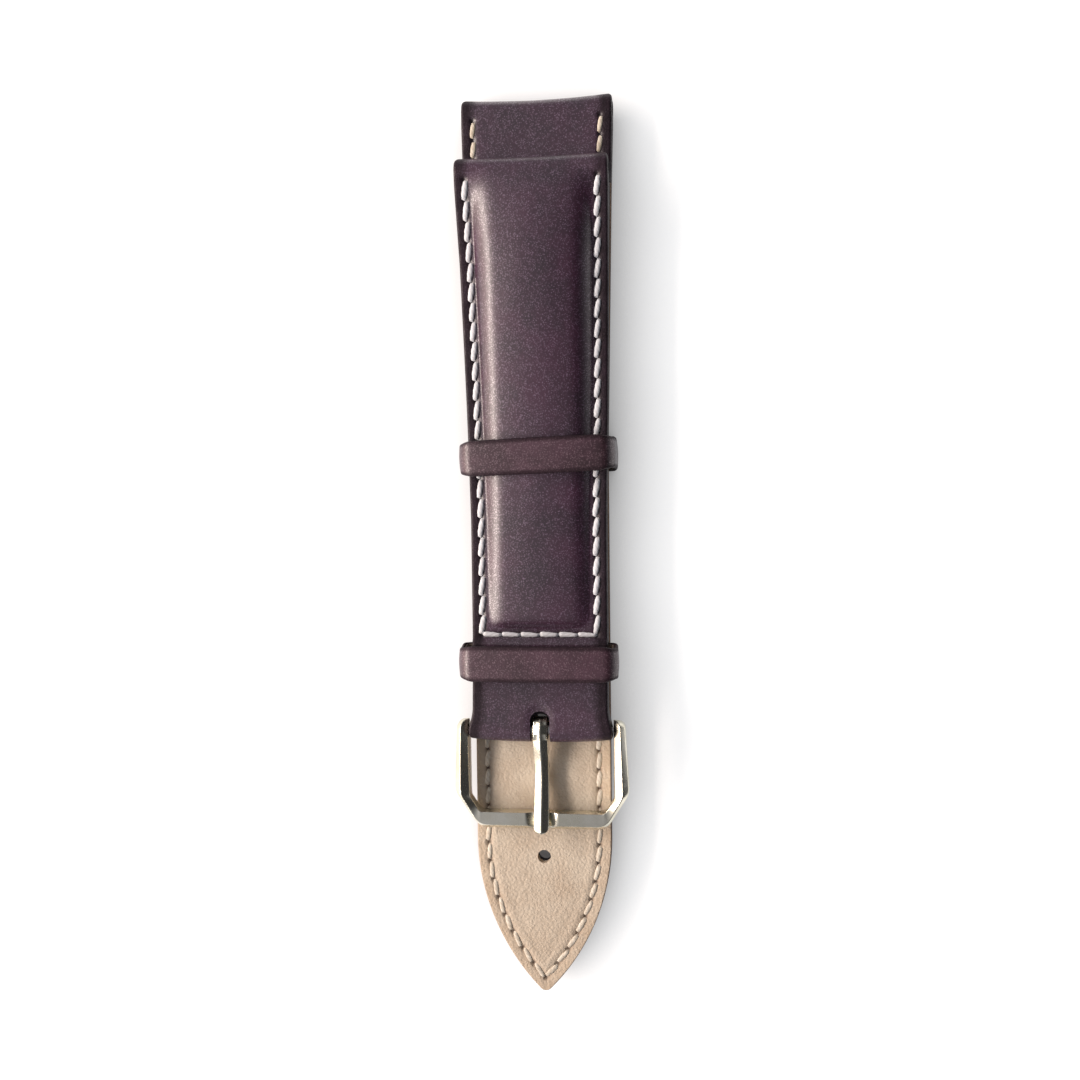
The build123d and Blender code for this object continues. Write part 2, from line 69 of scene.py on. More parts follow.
# Sizes that both halves share, in millimetres. s runs from a half's lug end,
# h is the height off its lining side.
strap = {
    "lugHalf": 10.0,
    "lugStraight": 4.0,
    "taperEnd": 47.0,
    "lugCorner": 0.6,
    "rollRadius": 1.85,
    "tunnelRadius": 0.95,
    "rimSlope": 12.0,
    "rimHeight": 2.0,
    "liningTop": 0.8,
    "stayTop": 1.1,
    "stayStart": 3.5,
    "turnedEnd": 12.0,
    "faceLeather": 0.9,
    "crownEdge": 2.0,
    "crownSink": 0.25,
    "crownStart": 1.35,
    "crownFall": 3.4,
    "lugCrown": 4.6,
    "endCrown": 3.0,
    "edgeRound": 0.34,
    "seamStart": 3.1,
    "layerGap": 0.01,
    "needleReach": 0.3,
}
shortHalf = {
    "lugEnd": 51.2,
    "plane": 5.0,
    "endHalf": 9.0,
    "paddingEnd": 61.4,
    "crossSeam": 62.3,
    "seamInset": 1.4,
    "stitchesPerSide": 23,
    "stitchesAcross": 6,
    "foldEnd": 75.0,
    "foldHalf": 9.52,
    "flareLength": 2.9,
    "flareBeyond": 0.4,
    "foldRoll": 1.61,
    "foldBow": 0.42,
    "barSpace": 0.81,
    "foldTop": 2.45,
    "bandStart": 63.45,
    "bandEnd": 68.15,
    "bandTop": 1.55,
    "bandPlay": 0.02,
    "bandSlack": 0.05,
    "rampLong": 0.7,
    "rampFoot": 0.1,
    "creaseLong": 0.5,
    "creaseHeights": (1.18, 1.22),
    "lapStart": 0.2,
    "lapHeight": 1.08,
    "lugBow": 0.15,
    "seed": 11,
    "lugLean": 0.35,
    "liningBulge": 0.05,
}
longHalf = {
    "lugEnd": 60.0,
    "plane": 4.6,
    "endHalf": 9.1,
    "paddingEnd": 58.0,
    "seamInset": 1.55,
    "stitchesPerSide": 46,
    "length": 120.0,
    "pointStart": 99.0,
    "bluntRadius": 0.95,
    "holeFirst": 18.5,
    "holePitch": 6.25,
    "holeCount": 7,
    "holeRadius": 0.9,
    "lugBow": 0.4,
    "seed": 23,
    "liningBulge": 0.1,
}
# the arch that runs from the straight side into the round tip without a corner
pointLong = longHalf["length"] - longHalf["pointStart"] - longHalf["bluntRadius"]
longHalf["archRadius"] = (longHalf["endHalf"] ** 2 + pointLong**2 - longHalf["bluntRadius"] ** 2) / (
    2 * (longHalf["endHalf"] - longHalf["bluntRadius"])
)
barAxis = (0.0, -23.8, 6.61)
farAway = 9.0  # further than any seam, hole or end counts


# Plan outlines and heights
def smoothStep(low, high, value):
    share = np.clip((value - low) / (high - low), 0, 1)
    return share * share * (3 - 2 * share)


def softMax(a, b, blend):
    mix = np.clip(0.5 + 0.5 * (a - b) / blend, 0, 1)
    return b + (a - b) * mix + blend * mix * (1 - mix)


def halfWidth(half, s):
    share = np.clip((s - strap["lugStraight"]) / (strap["taperEnd"] - strap["lugStraight"]), 0, 1)
    wide = strap["lugHalf"] + (half["endHalf"] - strap["lugHalf"]) * share
    corner = strap["lugCorner"]
    near = np.clip(corner - s, 0, corner)
    wide = wide - corner + np.sqrt(corner**2 - near**2)
    if "foldHalf" in half:
        flareEnd = half["foldEnd"] + half["flareBeyond"]
        flare = smoothStep(half["foldEnd"] - half["flareLength"], flareEnd, s)
        return wide + (half["foldHalf"] - half["endHalf"]) * flare
    beyond = np.clip(s - half["pointStart"], 0, None)
    arch = half["endHalf"] - half["archRadius"] + np.sqrt(
        np.clip(half["archRadius"] ** 2 - beyond**2, 0, None)
    )
    tip = half["bluntRadius"]
    fromTip = np.clip(s - (half["length"] - tip), 0, tip)
    blunt = np.sqrt(np.clip(tip**2 - fromTip**2, 0, None))
    touch = half["pointStart"] + half["archRadius"] * pointLong / (half["archRadius"] - tip)
    pointed = np.where(s > touch, blunt, arch)
    return np.where(s > half["pointStart"], pointed, wide)


def edgeDistance(half, x, s):
    side = halfWidth(half, s) - np.abs(x)
    if "foldHalf" in half:
        return np.clip(side, 0, None)
    centre = half["endHalf"] - half["archRadius"]
    arch = half["archRadius"] - np.hypot(np.abs(x) - centre, s - half["pointStart"])
    tip = half["bluntRadius"]
    tipMiddle = half["length"] - tip
    blunt = tip - np.hypot(x, s - tipMiddle)
    distance = np.where(s > half["pointStart"], arch, side)
    onTip = (s - tipMiddle) * (half["archRadius"] - half["endHalf"]) > np.abs(x) * pointLong
    distance = np.where(onTip, blunt, distance)
    return np.clip(distance, 0, None)


def rimHeight(s):
    roll = strap["rollRadius"]
    share = np.clip((s - roll) / strap["rimSlope"], 0, 1)
    high = roll + np.sqrt(np.clip(roll**2 - np.clip(roll - s, 0, roll) ** 2, 0, None))
    return high + (strap["rimHeight"] - 2 * roll) * share


# drops are below the crown's full height; a fall is (share of the way, share of the height) by steps
crownShape = {
    "risePlaces": (2.4, 3.5, 4.6, 5.8, 7.4, 9.5),
    "riseDrops": (0.97, 0.7, 0.44, 0.25, 0.12, 0.05, 0.04),
    "fallShape": ((0.25, 0.965), (0.5, 0.87), (0.7, 0.72), (0.85, 0.53), (0.94, 0.3), (1, 0)),
    "shoulderReach": 0.62,
    "shoulderHeight": 0.84,
    "leastRise": 0.01,
    "rollBlend": 0.03,
    "riseBlend": 0.5,
    "riseBlendOver": (1.4, 3.2),
    "seamBlend": 0.39,
    "seamBlendOver": (3.6, 9.0),
}


def addFall(places, tops, length, low, shape):
    # goes on from the last place and height down to the low one
    start, high = places[-1], tops[-1]
    for along, up in shape:
        places.append(start + length * along)
        tops.append(low + (high - low) * up)


def crownTop(half, s):
    # it leaves the roll in the roll's own direction and flattens out
    low = strap["rimHeight"] - strap["crownSink"] / 2
    places = [strap["crownStart"], *crownShape["risePlaces"], half["paddingEnd"] - strap["crownFall"]]
    tops = [strap["lugCrown"] - drop for drop in crownShape["riseDrops"]] + [strap["endCrown"]]
    addFall(places, tops, strap["crownFall"], low, crownShape["fallShape"])
    return np.interp(s, places, tops)


def arcSection(x, reach, foot, top):
    # a flatter top arc with tangent shoulders down to the foot
    shoulderX = reach * crownShape["shoulderReach"]
    shoulderH = foot + (top - foot) * crownShape["shoulderHeight"]
    drop = np.clip(top - shoulderH, 1e-3, None)
    big = (shoulderX**2 + drop**2) / (2 * drop)
    middle = top - big + np.sqrt(np.clip(big**2 - x**2, 0, None))
    normalX, normalH = -shoulderX / big, (top - big - shoulderH) / big
    runX, runH = reach - shoulderX, foot - shoulderH
    small = (runX**2 + runH**2) / (2 * (runX * normalX + runH * normalH))
    centreX, centreH = shoulderX + normalX * small, shoulderH + normalH * small
    side = centreH + np.sqrt(np.clip(small**2 - (np.abs(x) - centreX) ** 2, 0, None))
    height = np.where(np.abs(x) < shoulderX, middle, side)
    return np.where(np.abs(x) < reach, height, foot)


def crownHeight(half, x, s):
    reach = halfWidth(half, s) - strap["crownEdge"]
    foot = rimHeight(s) - strap["crownSink"]
    return arcSection(x, reach, foot, np.maximum(crownTop(half, s), foot + crownShape["leastRise"]))


def crownBlend(s):
    # the crown grows softly out of the lug roll and crisply beside the seams
    rise = crownShape["riseBlend"] * smoothStep(*crownShape["riseBlendOver"], s)
    crisp = crownShape["seamBlend"] * smoothStep(*crownShape["seamBlendOver"], s)
    return crownShape["rollBlend"] + rise - crisp


paddingShape = {
    "start": 3.65,
    "riseRuns": (1.1, 2.2),
    "riseDrops": (0.28, 0.05),
    "startLift": 1.0,
    "fallShape": ((0.3, 0.95), (0.55, 0.83), (0.8, 0.56), (0.93, 0.28), (1, 0)),
    "endLift": 0.12,
    "sideLift": 0.1,
    "sideGap": 0.5,
    "leatherGap": 0.02,
    "waveDeep": 0.012,
    "waveLong": 3.0,
    "shrink": 0.05,  # how far the mesh stays inside the room for it
    "give": 0.95,
}


def paddingReach(half, s):
    return halfWidth(half, s) - strap["crownEdge"] - paddingShape["sideGap"]


def paddingHeight(half, x, s):
    start, leather = paddingShape["start"], strap["faceLeather"]
    fall = half["paddingEnd"] - strap["crownFall"]
    low = strap["stayTop"] + paddingShape["endLift"]
    places = [start, *(start + run for run in paddingShape["riseRuns"]), fall]
    tops = [low + paddingShape["startLift"]]
    tops += [strap["lugCrown"] - leather - drop for drop in paddingShape["riseDrops"]]
    tops.append(strap["endCrown"] - leather)
    addFall(places, tops, half["paddingEnd"] - leather - fall, low, paddingShape["fallShape"])
    top = np.interp(s, places, tops)
    foot = strap["stayTop"] + paddingShape["sideLift"]
    return arcSection(x, paddingReach(half, s), foot, np.maximum(top, low))


# Seams
def seamRows(half):
    # every seam as points along it, with its number of stitches
    inset, start = half["seamInset"], strap["seamStart"]
    rows = []
    if "crossSeam" in half:
        s = np.linspace(start, half["crossSeam"], 300)
        side = np.column_stack([halfWidth(half, s) - inset, s])
        reach = side[-1][0]
        across = np.column_stack([np.linspace(-reach, reach, 60), np.full(60, half["crossSeam"])])
        rows.append((side * [-1, 1], half["stitchesPerSide"]))
        rows.append((across, half["stitchesAcross"]))
        rows.append((side[::-1], half["stitchesPerSide"]))
        return rows
    s = np.linspace(start, half["pointStart"], 400)
    side = np.column_stack([halfWidth(half, s) - inset, s])
    radius = half["archRadius"] - inset
    centre = half["endHalf"] - half["archRadius"]
    last = np.arccos(-centre / radius)
    angle = np.linspace(0, last, 120)[1:]
    arc = np.column_stack([centre + radius * np.cos(angle), half["pointStart"] + radius * np.sin(angle)])
    side = np.vstack([side, arc])
    rows.append((side * [-1, 1], half["stitchesPerSide"]))
    rows.append((side[::-1], half["stitchesPerSide"]))
    return rows


def runAlong(points):
    # the length run at each point of a line
    return np.concatenate([[0], np.cumsum(np.hypot(*np.diff(points, axis=0).T))])


def seamHoles(half):
    holes = []
    for line, count in seamRows(half):
        run = runAlong(line)
        marks = np.linspace(0, run[-1], count + 1)
        holes.append(np.column_stack([np.interp(marks, run, line[:, axis]) for axis in (0, 1)]))
    return holes


def seamPress(half, x, s):
    # how far each point lies from the nearest seam, and how close to a needle hole (1 at the hole)
    flat = np.column_stack([x.ravel(), s.ravel()])
    distance = np.full(len(flat), farAway)
    pit = np.zeros(len(flat))
    margin = 1.2  # beyond it a seam marks nothing
    for (line, _), holes in zip(seamRows(half), seamHoles(half)):
        near = ((flat > line.min(0) - margin) & (flat < line.max(0) + margin)).all(1)
        px, ps = flat[near].T
        if abs(line[0, 0] - line[-1, 0]) < half["endHalf"]:  # a side row: measured straight across
            side = np.sign(line[len(line) // 3, 0])
            away = np.abs(edgeDistance(half, px, ps) - half["seamInset"])
            away = np.where(np.sign(px) == side, away, farAway)
            away = np.maximum(away, np.clip(line[:, 1].min() - ps, 0, None))
            away = np.maximum(away, np.clip(ps - line[:, 1].max(), 0, None))
        else:
            away = np.abs(ps - line[0, 1])
            away = np.maximum(away, np.clip(np.abs(px) - np.abs(line[0, 0]), 0, None))
        distance[near] = np.minimum(distance[near], away)
        for hole in holes:
            close = np.hypot(px - hole[0], ps - hole[1]) / strap["needleReach"]
            pit[near] = np.maximum(pit[near], np.exp(-(close**2)))
    return distance.reshape(x.shape), pit.reshape(x.shape)


# Slow waves in hand-cut leather
def waves(seed, x, y, size, count=7):
    random = np.random.default_rng(seed)
    total = np.zeros(np.broadcast(x, y).shape)
    for _ in range(count):
        turn, length, phase = random.uniform(0, pi), size * random.uniform(0.6, 1.9), random.uniform(0, 7)
        total = total + np.sin((x * cos(turn) + y * sin(turn)) * 2 * pi / length + phase)
    return total / count


# Mesh tools
def addObject(name, data):
    thing = bpy.data.objects.new(name, data)
    bpy.context.scene.collection.objects.link(thing)
    return thing


def meshObject(name, points, faces, body, material, marks=None, sharp=38.0):
    mesh = bpy.data.meshes.new(name)
    mesh.from_pydata((np.asarray(points) * mm).tolist(), [], faces)
    for key, values in (marks or {}).items():
        layer = mesh.attributes.new(key, "FLOAT", "POINT")
        layer.data.foreach_set("value", np.asarray(values, np.float32).ravel())
    work = bmesh.new()
    work.from_mesh(mesh)
    bmesh.ops.remove_doubles(work, verts=work.verts, dist=1e-7)
    bmesh.ops.recalc_face_normals(work, faces=work.faces)
    work.to_mesh(mesh)
    work.free()
    mesh.shade_smooth()
    mesh.set_sharp_from_angle(angle=radians(sharp))
    mesh.materials.append(material)
    thing = addObject(name, mesh)
    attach(thing, body)
    return thing


def ringFaces(count, around, closedAlong=False):
    ids = np.arange(count * around).reshape(count, around)
    rows = count if closedAlong else count - 1
    faces = []
    for k in range(rows):
        here, there = ids[k], ids[(k + 1) % count]
        faces += np.column_stack([here, np.roll(here, -1), np.roll(there, -1), there]).tolist()
    if not closedAlong:
        faces += [ids[0][::-1].tolist(), ids[-1].tolist()]
    return faces


def cutWith(thing, cutter, how="DIFFERENCE", sharp=38):
    # takes the cutter out of the piece for good, or adds it, and drops the cutter
    change = thing.modifiers.new("punch", "BOOLEAN")
    change.operation, change.solver, change.object = how, "EXACT", cutter
    graph = bpy.context.evaluated_depsgraph_get()
    result = bpy.data.meshes.new_from_object(thing.evaluated_get(graph), depsgraph=graph)
    thing.modifiers.clear()
    old = thing.data
    result.name = old.name
    thing.data = result
    bpy.data.meshes.remove(old)
    bpy.data.objects.remove(cutter)
    thing.data.set_sharp_from_angle(angle=radians(sharp))


def punch(name, outlines, low, high, material, highOutlines=None):
    # one cutter from plan outlines in the row's frame, upright or with other outlines at its top
    points, faces = [], []
    for outline, highOutline in zip(outlines, highOutlines or outlines):
        base, count = len(points), len(outline)
        points += [(x, y, low) for x, y in outline] + [(x, y, high) for x, y in highOutline]
        foot, head = list(range(base, base + count)), list(range(base + count, base + 2 * count))
        faces += [foot[::-1], head]
        faces += [[foot[k], foot[(k + 1) % count], head[(k + 1) % count], head[k]] for k in range(count)]
    mesh = bpy.data.meshes.new(name)
    mesh.from_pydata([(x * mm, y * mm, z * mm) for x, y, z in points], [], faces)
    mesh.materials.append(material)
    return addObject(name, mesh)


# Shared material effects
def newGroup(name, inputs, outputs):
    group = bpy.data.node_groups.new(name, "ShaderNodeTree")
    for key, kind, value in inputs:
        socket = group.interface.new_socket(name=key, in_out="INPUT", socket_type=kind)
        if value is not None:
            socket.default_value = value
    for key, kind in outputs:
        group.interface.new_socket(name=key, in_out="OUTPUT", socket_type=kind)
    start = group.nodes.new("NodeGroupInput")
    end = group.nodes.new("NodeGroupOutput")
    return group, start, end


def addNode(tree, kind, settings=None, **inputs):
    node = tree.nodes.new(kind)
    for key, value in (settings or {}).items():
        setattr(node, key, value)
    for key, value in inputs.items():
        if hasattr(value, "is_output"):
            tree.links.new(value, node.inputs[key])
        else:
            node.inputs[key].default_value = value
    return node


def mathNode(tree, operation, first, second=0.0, clamp=False):
    node = tree.nodes.new("ShaderNodeMath")
    node.operation, node.use_clamp = operation, clamp
    for socket, value in zip(node.inputs, (first, second)):
        if hasattr(value, "is_output"):
            tree.links.new(value, socket)
        else:
            socket.default_value = value
    return node.outputs[0]


def mixColours(tree, factor, first, second, blend="MIX"):
    node = tree.nodes.new("ShaderNodeMix")
    node.data_type, node.blend_type = "RGBA", blend
    for socket, value in ((node.inputs[0], factor), (node.inputs[6], first), (node.inputs[7], second)):
        if hasattr(value, "is_output"):
            tree.links.new(value, socket)
        else:
            socket.default_value = value
    return node.outputs[2]


def rangeNode(tree, value, low, high, toLow, toHigh):
    node = tree.nodes.new("ShaderNodeMapRange")
    tree.links.new(value, node.inputs[0])
    for socket, number in zip(node.inputs[1:5], (low, high, toLow, toHigh)):
        socket.default_value = number
    return node.outputs[0]


grainShape = {
    "warpScale": 900.0,
    "warp": 0.0004,
    "fineTimes": 1.9,
    "creaseTimes": 0.45,
    "creaseWide": 0.12,
    "toneScale": 160.0,
    "patchScale": 1500.0,
}


def leatherGrainGroup():
    group, start, end = newGroup(
        "leatherGrain",
        [
            ("Vector", "NodeSocketVector", None),
            ("Pebble", "NodeSocketFloat", 3500.0),
            ("Crease", "NodeSocketFloat", 0.5),
        ],
        [("Height", "NodeSocketFloat"), ("Tone", "NodeSocketFloat"), ("Speckle", "NodeSocketFloat")],
    )
    place, pebble = start.outputs["Vector"], start.outputs["Pebble"]
    warp = addNode(group, "ShaderNodeTexNoise", Vector=place, Scale=grainShape["warpScale"], Detail=2.0)
    lean = addNode(group, "ShaderNodeVectorMath", {"operation": "MULTIPLY_ADD"})
    group.links.new(warp.outputs["Color"], lean.inputs[0])
    lean.inputs[1].default_value = [grainShape["warp"]] * 3
    group.links.new(place, lean.inputs[2])
    cells = addNode(
        group, "ShaderNodeTexVoronoi", {"feature": "SMOOTH_F1"}, Vector=lean.outputs[0], Scale=pebble,
        Smoothness=0.6, Randomness=1.0,
    )
    fineness = mathNode(group, "MULTIPLY", pebble, grainShape["fineTimes"])
    fine = addNode(group, "ShaderNodeTexNoise", Vector=place, Scale=fineness, Detail=3.0, Roughness=0.6)
    creases = addNode(
        group, "ShaderNodeTexVoronoi", {"feature": "DISTANCE_TO_EDGE"}, Vector=lean.outputs[0],
        Scale=mathNode(group, "MULTIPLY", pebble, grainShape["creaseTimes"]),
    )
    valley = rangeNode(group, creases.outputs["Distance"], 0.0, grainShape["creaseWide"], 1.0, 0.0)
    pebbles = mathNode(group, "MULTIPLY", cells.outputs["Distance"], -0.7)
    height = mathNode(group, "ADD", mathNode(group, "MULTIPLY", fine.outputs[0], 0.5), pebbles)
    dip = mathNode(group, "MULTIPLY", valley, mathNode(group, "MULTIPLY", start.outputs["Crease"], -0.4))
    height = mathNode(group, "ADD", height, dip)
    tone = addNode(
        group, "ShaderNodeTexNoise", Vector=place, Scale=grainShape["toneScale"], Detail=4.0, Roughness=0.6
    )
    # the grain's tops, which the leathers' colour lights with a painted glint
    top = rangeNode(group, cells.outputs["Distance"], 0.12, 0.46, 1.0, 0.0)
    patch = addNode(
        group, "ShaderNodeTexNoise", Vector=place, Scale=grainShape["patchScale"], Detail=2.0, Roughness=0.7
    )
    strength = rangeNode(group, patch.outputs[0], 0.3, 0.62, 0.25, 1.0)
    group.links.new(mathNode(group, "MULTIPLY", top, strength), end.inputs["Speckle"])
    group.links.new(height, end.inputs["Height"])
    group.links.new(tone.outputs[0], end.inputs["Tone"])
    return group


def edgeWearAndShadeGroup():
    # near an edge: a distance from it, broken up by noise. It marks rubbed and dyed edges, and the painted
    # shade on the keepers' liners
    group, start, end = newGroup(
        "edgeWearAndShade",
        [
            ("Vector", "NodeSocketVector", None),
            ("Edge", "NodeSocketFloat", 0.0),
            ("Reach", "NodeSocketFloat", 0.5),
            ("Patchiness", "NodeSocketFloat", 220.0),
            ("Breakup", "NodeSocketFloat", 1.0),
        ],
        [("Wear", "NodeSocketFloat")],
    )
    noise = addNode(
        group, "ShaderNodeTexNoise", Vector=start.outputs["Vector"], Scale=start.outputs["Patchiness"],
        Detail=5.0, Roughness=0.65,
    )
    broken = rangeNode(group, noise.outputs[0], 0.38, 0.68, 1.0, 0.0)
    kept = mathNode(group, "SUBTRACT", 1.0, mathNode(group, "MULTIPLY", broken, start.outputs["Breakup"]))
    near = mathNode(group, "DIVIDE", start.outputs["Edge"], start.outputs["Reach"])
    near = mathNode(group, "MULTIPLY", mathNode(group, "SUBTRACT", 1.0, near), 2.0, clamp=True)
    group.links.new(mathNode(group, "MULTIPLY", near, kept), end.inputs["Wear"])
    return group


def threadFibreGroup():
    group, start, end = newGroup(
        "threadFibre",
        [("Vector", "NodeSocketVector", None), ("Fineness", "NodeSocketFloat", 9000.0)],
        [("Height", "NodeSocketFloat"), ("Tone", "NodeSocketFloat")],
    )
    fine = addNode(
        group, "ShaderNodeTexNoise", Vector=start.outputs["Vector"], Scale=start.outputs["Fineness"],
        Detail=3.0, Roughness=0.7,
    )
    tone = addNode(group, "ShaderNodeTexNoise", Vector=start.outputs["Vector"], Scale=900.0, Detail=3.0)
    group.links.new(fine.outputs[0], end.inputs["Height"])
    group.links.new(tone.outputs[0], end.inputs["Tone"])
    return group


def metalScratchGroup():
    group, start, end = newGroup(
        "metalScratches",
        [
            ("Vector", "NodeSocketVector", None),
            ("Fineness", "NodeSocketFloat", 900.0),
            ("Stretch", "NodeSocketVector", (1.0, 0.04, 1.0)),
        ],
        [("Height", "NodeSocketFloat"), ("Smudge", "NodeSocketFloat")],
    )
    stretched = addNode(group, "ShaderNodeVectorMath", {"operation": "MULTIPLY"})
    group.links.new(start.outputs["Vector"], stretched.inputs[0])
    group.links.new(start.outputs["Stretch"], stretched.inputs[1])
    lines = addNode(
        group, "ShaderNodeTexNoise", Vector=stretched.outputs[0], Scale=start.outputs["Fineness"],
        Detail=6.0, Roughness=0.75,
    )
    smudge = addNode(
        group, "ShaderNodeTexNoise", Vector=start.outputs["Vector"], Scale=260.0, Detail=4.0, Roughness=0.6
    )
    group.links.new(lines.outputs[0], end.inputs["Height"])
    group.links.new(smudge.outputs[0], end.inputs["Smudge"])
    return group


leatherGrain = leatherGrainGroup()
edgeWearAndShade = edgeWearAndShadeGroup()
threadFibre = threadFibreGroup()
metalScratches = metalScratchGroup()


def startMaterial(name):
    material = bpy.data.materials.new(name)
    material.use_nodes = True
    tree = material.node_tree
    shader = tree.nodes["Principled BSDF"]
    place = tree.nodes.new("ShaderNodeTexCoord").outputs["Object"]
    return material, tree, shader, place


def placeGroup(tree, group, place, **values):
    node = tree.nodes.new("ShaderNodeGroup")
    node.node_tree = group
    tree.links.new(place, node.inputs["Vector"])
    for key, value in values.items():
        if hasattr(value, "is_output"):
            tree.links.new(value, node.inputs[key])
        else:
            node.inputs[key].default_value = value
    return node


def markOf(tree, name):
    return addNode(tree, "ShaderNodeAttribute", {"attribute_name": name}).outputs["Fac"]


def leatherMaterial(name, look):
    material, tree, shader, place = startMaterial(name)
    grain = placeGroup(tree, leatherGrain, place, Pebble=look["pebble"], Crease=look["crease"])
    wear = placeGroup(
        tree, edgeWearAndShade, place, Edge=markOf(tree, "edgeAway"), Reach=look["wearReach"],
        Patchiness=look["patchiness"], Breakup=look["breakup"],
    )
    cut, pit, press = markOf(tree, "cutEdge"), markOf(tree, "needlePit"), markOf(tree, "seamPress")
    tone = rangeNode(tree, grain.outputs["Tone"], 0.35, 0.65, 0.0, 1.0)
    colour = mixColours(tree, tone, look["dark"], look["light"])
    for mask, strength, tint in (
        # the grain's tops made lighter: a painted glint
        (grain.outputs["Speckle"], "grainTopShare", "grainTopColour"),
        (wear.outputs[0], "wear", "worn"),
        (cut, None, "cutColour"),
        # darker along the seam's groove: painted shade
        (press, "seamShadeTone", "seamShadeColour"),
        # nearly black in the needle holes: painted shade
        (pit, "pitShadeTone", "pitShadeColour"),
    ):
        if strength:
            mask = mathNode(tree, "MULTIPLY", mask, look[strength])
        colour = mixColours(tree, mask, colour, look[tint])
    tree.links.new(colour, shader.inputs["Base Color"])
    rough = rangeNode(tree, grain.outputs["Speckle"], 0.0, 0.8, look["roughHigh"], look["roughLow"])
    rough = mathNode(tree, "ADD", rough, mathNode(tree, "MULTIPLY", wear.outputs[0], look["edgeRough"]))
    tree.links.new(rough, shader.inputs["Roughness"])
    bump = addNode(tree, "ShaderNodeBump", Strength=look["bump"], Distance=look["bumpDepth"] * mm)
    tree.links.new(grain.outputs["Height"], bump.inputs["Height"])
    tree.links.new(bump.outputs[0], shader.inputs["Normal"])
    shader.inputs["Specular IOR Level"].default_value = look["specular"]
    shader.inputs["Specular Tint"].default_value = look["specularTint"]
    if look["coat"] > 0:  # the coat lies on the grain's tops and ends where the edge dye begins
        bare = rangeNode(tree, wear.outputs[0], 0.0, 1.0, look["coat"], 0.0)
        tops = rangeNode(tree, grain.outputs["Speckle"], 0.0, 0.7, look["coatLow"], 1.0)
        tree.links.new(mathNode(tree, "MULTIPLY", bare, tops), shader.inputs["Coat Weight"])
    shader.inputs["Coat IOR"].default_value = look["coatIor"]
    shader.inputs["Coat Roughness"].default_value = look["coatRough"]
    shader.inputs["Sheen Weight"].default_value = look["sheen"]
    shader.inputs["Sheen Roughness"].default_value = 0.5
    shader.inputs["Sheen Tint"].default_value = look["sheenTint"]
    return material


faceLook = {
    "pebble": 4600.0,
    "crease": 0.25,
    "wearReach": 2.2,
    "patchiness": 300.0,
    "breakup": 0.25,
    "dark": (0.015, 0.0022, 0.011, 1),
    "light": (0.04, 0.0065, 0.026, 1),
    # a painted glint on the grain's tops, here and on the lining and keepers
    "grainTopColour": (0.17, 0.085, 0.17, 1),
    "grainTopShare": 0.7,
    "wear": 1.0,
    "worn": (0.007, 0.004, 0.006, 1),
    "cutColour": (0.014, 0.009, 0.01, 1),
    # painted shade in the seam's groove
    "seamShadeTone": 0.6,
    "seamShadeColour": (0.015, 0.008, 0.01, 1),
    # painted shade in the needle holes
    "pitShadeTone": 0.9,
    "pitShadeColour": (0.004, 0.003, 0.003, 1),
    "roughLow": 0.3,
    "roughHigh": 0.42,
    "bump": 0.7,
    "bumpDepth": 0.08,
    "edgeRough": 0.2,
    "specular": 0.25,
    "specularTint": (1.0, 0.85, 0.95, 1),
    "coat": 1.0,
    "coatLow": 0.46,
    "coatIor": 2.25,
    "coatRough": 0.37,
    "sheen": 0.03,
    "sheenTint": (0.85, 0.75, 0.85, 1),
}
liningLook = dict(
    faceLook,
    pebble=2700.0,
    crease=0.2,
    dark=(0.53, 0.43, 0.325, 1),
    light=(0.64, 0.55, 0.435, 1),
    grainTopColour=(0.69, 0.61, 0.5, 1),
    grainTopShare=0.5,
    edgeRough=0.0,
    wearReach=1.4,
    breakup=0.8,
    wear=0.4,
    worn=(0.6, 0.42, 0.26, 1),
    cutColour=(0.26, 0.13, 0.07, 1),
    seamShadeTone=0.45,
    seamShadeColour=(0.3, 0.17, 0.09, 1),
    pitShadeTone=0.95,
    pitShadeColour=(0.03, 0.013, 0.01, 1),
    roughLow=0.55,
    roughHigh=0.7,
    bump=0.6,
    bumpDepth=0.18,
    specular=0.35,
    specularTint=(1, 1, 1, 1),
    coat=0.0,
    sheen=0.15,
    sheenTint=(1.0, 0.92, 0.85, 1),
)
keeperLook = dict(
    faceLook, dark=(0.026, 0.008, 0.013, 1), light=(0.066, 0.026, 0.042, 1), grainTopColour=(0.2, 0.11, 0.14, 1),
    wearReach=0.7, wear=0.8, coat=0.7,
)
# its dark worn colour dyes the cut edges and reaches in over the keepers' liners as painted shade, where the
# loop's inside lies in shadow
dyedShadedLiningLook = dict(
    liningLook, cutColour=(0.02, 0.011, 0.012, 1), worn=(0.05, 0.025, 0.02, 1),
    wear=1.0, wearReach=1.2, breakup=0.3,
)
faceLeather = leatherMaterial("burgundyFaceLeather", faceLook)
keeperLeather = leatherMaterial("keeperLeather", keeperLook)
dyedShadedLining = leatherMaterial("edgeDyedShadedLining", dyedShadedLiningLook)
liningLeather = leatherMaterial("beigeLiningLeather", liningLook)
fibreLook = dict(
    liningLook, pebble=6000.0, dark=(0.55, 0.52, 0.46, 1), light=(0.66, 0.63, 0.56, 1),
    grainTopColour=(0.42, 0.4, 0.36, 1), cutColour=(0.5, 0.47, 0.42, 1), worn=(0.4, 0.38, 0.33, 1), sheen=0.3,
)
paddingFelt = leatherMaterial("paddingFelt", fibreLook)
stayCloth = leatherMaterial("stayCloth", dict(fibreLook, pebble=9000.0, dark=(0.62, 0.6, 0.55, 1)))


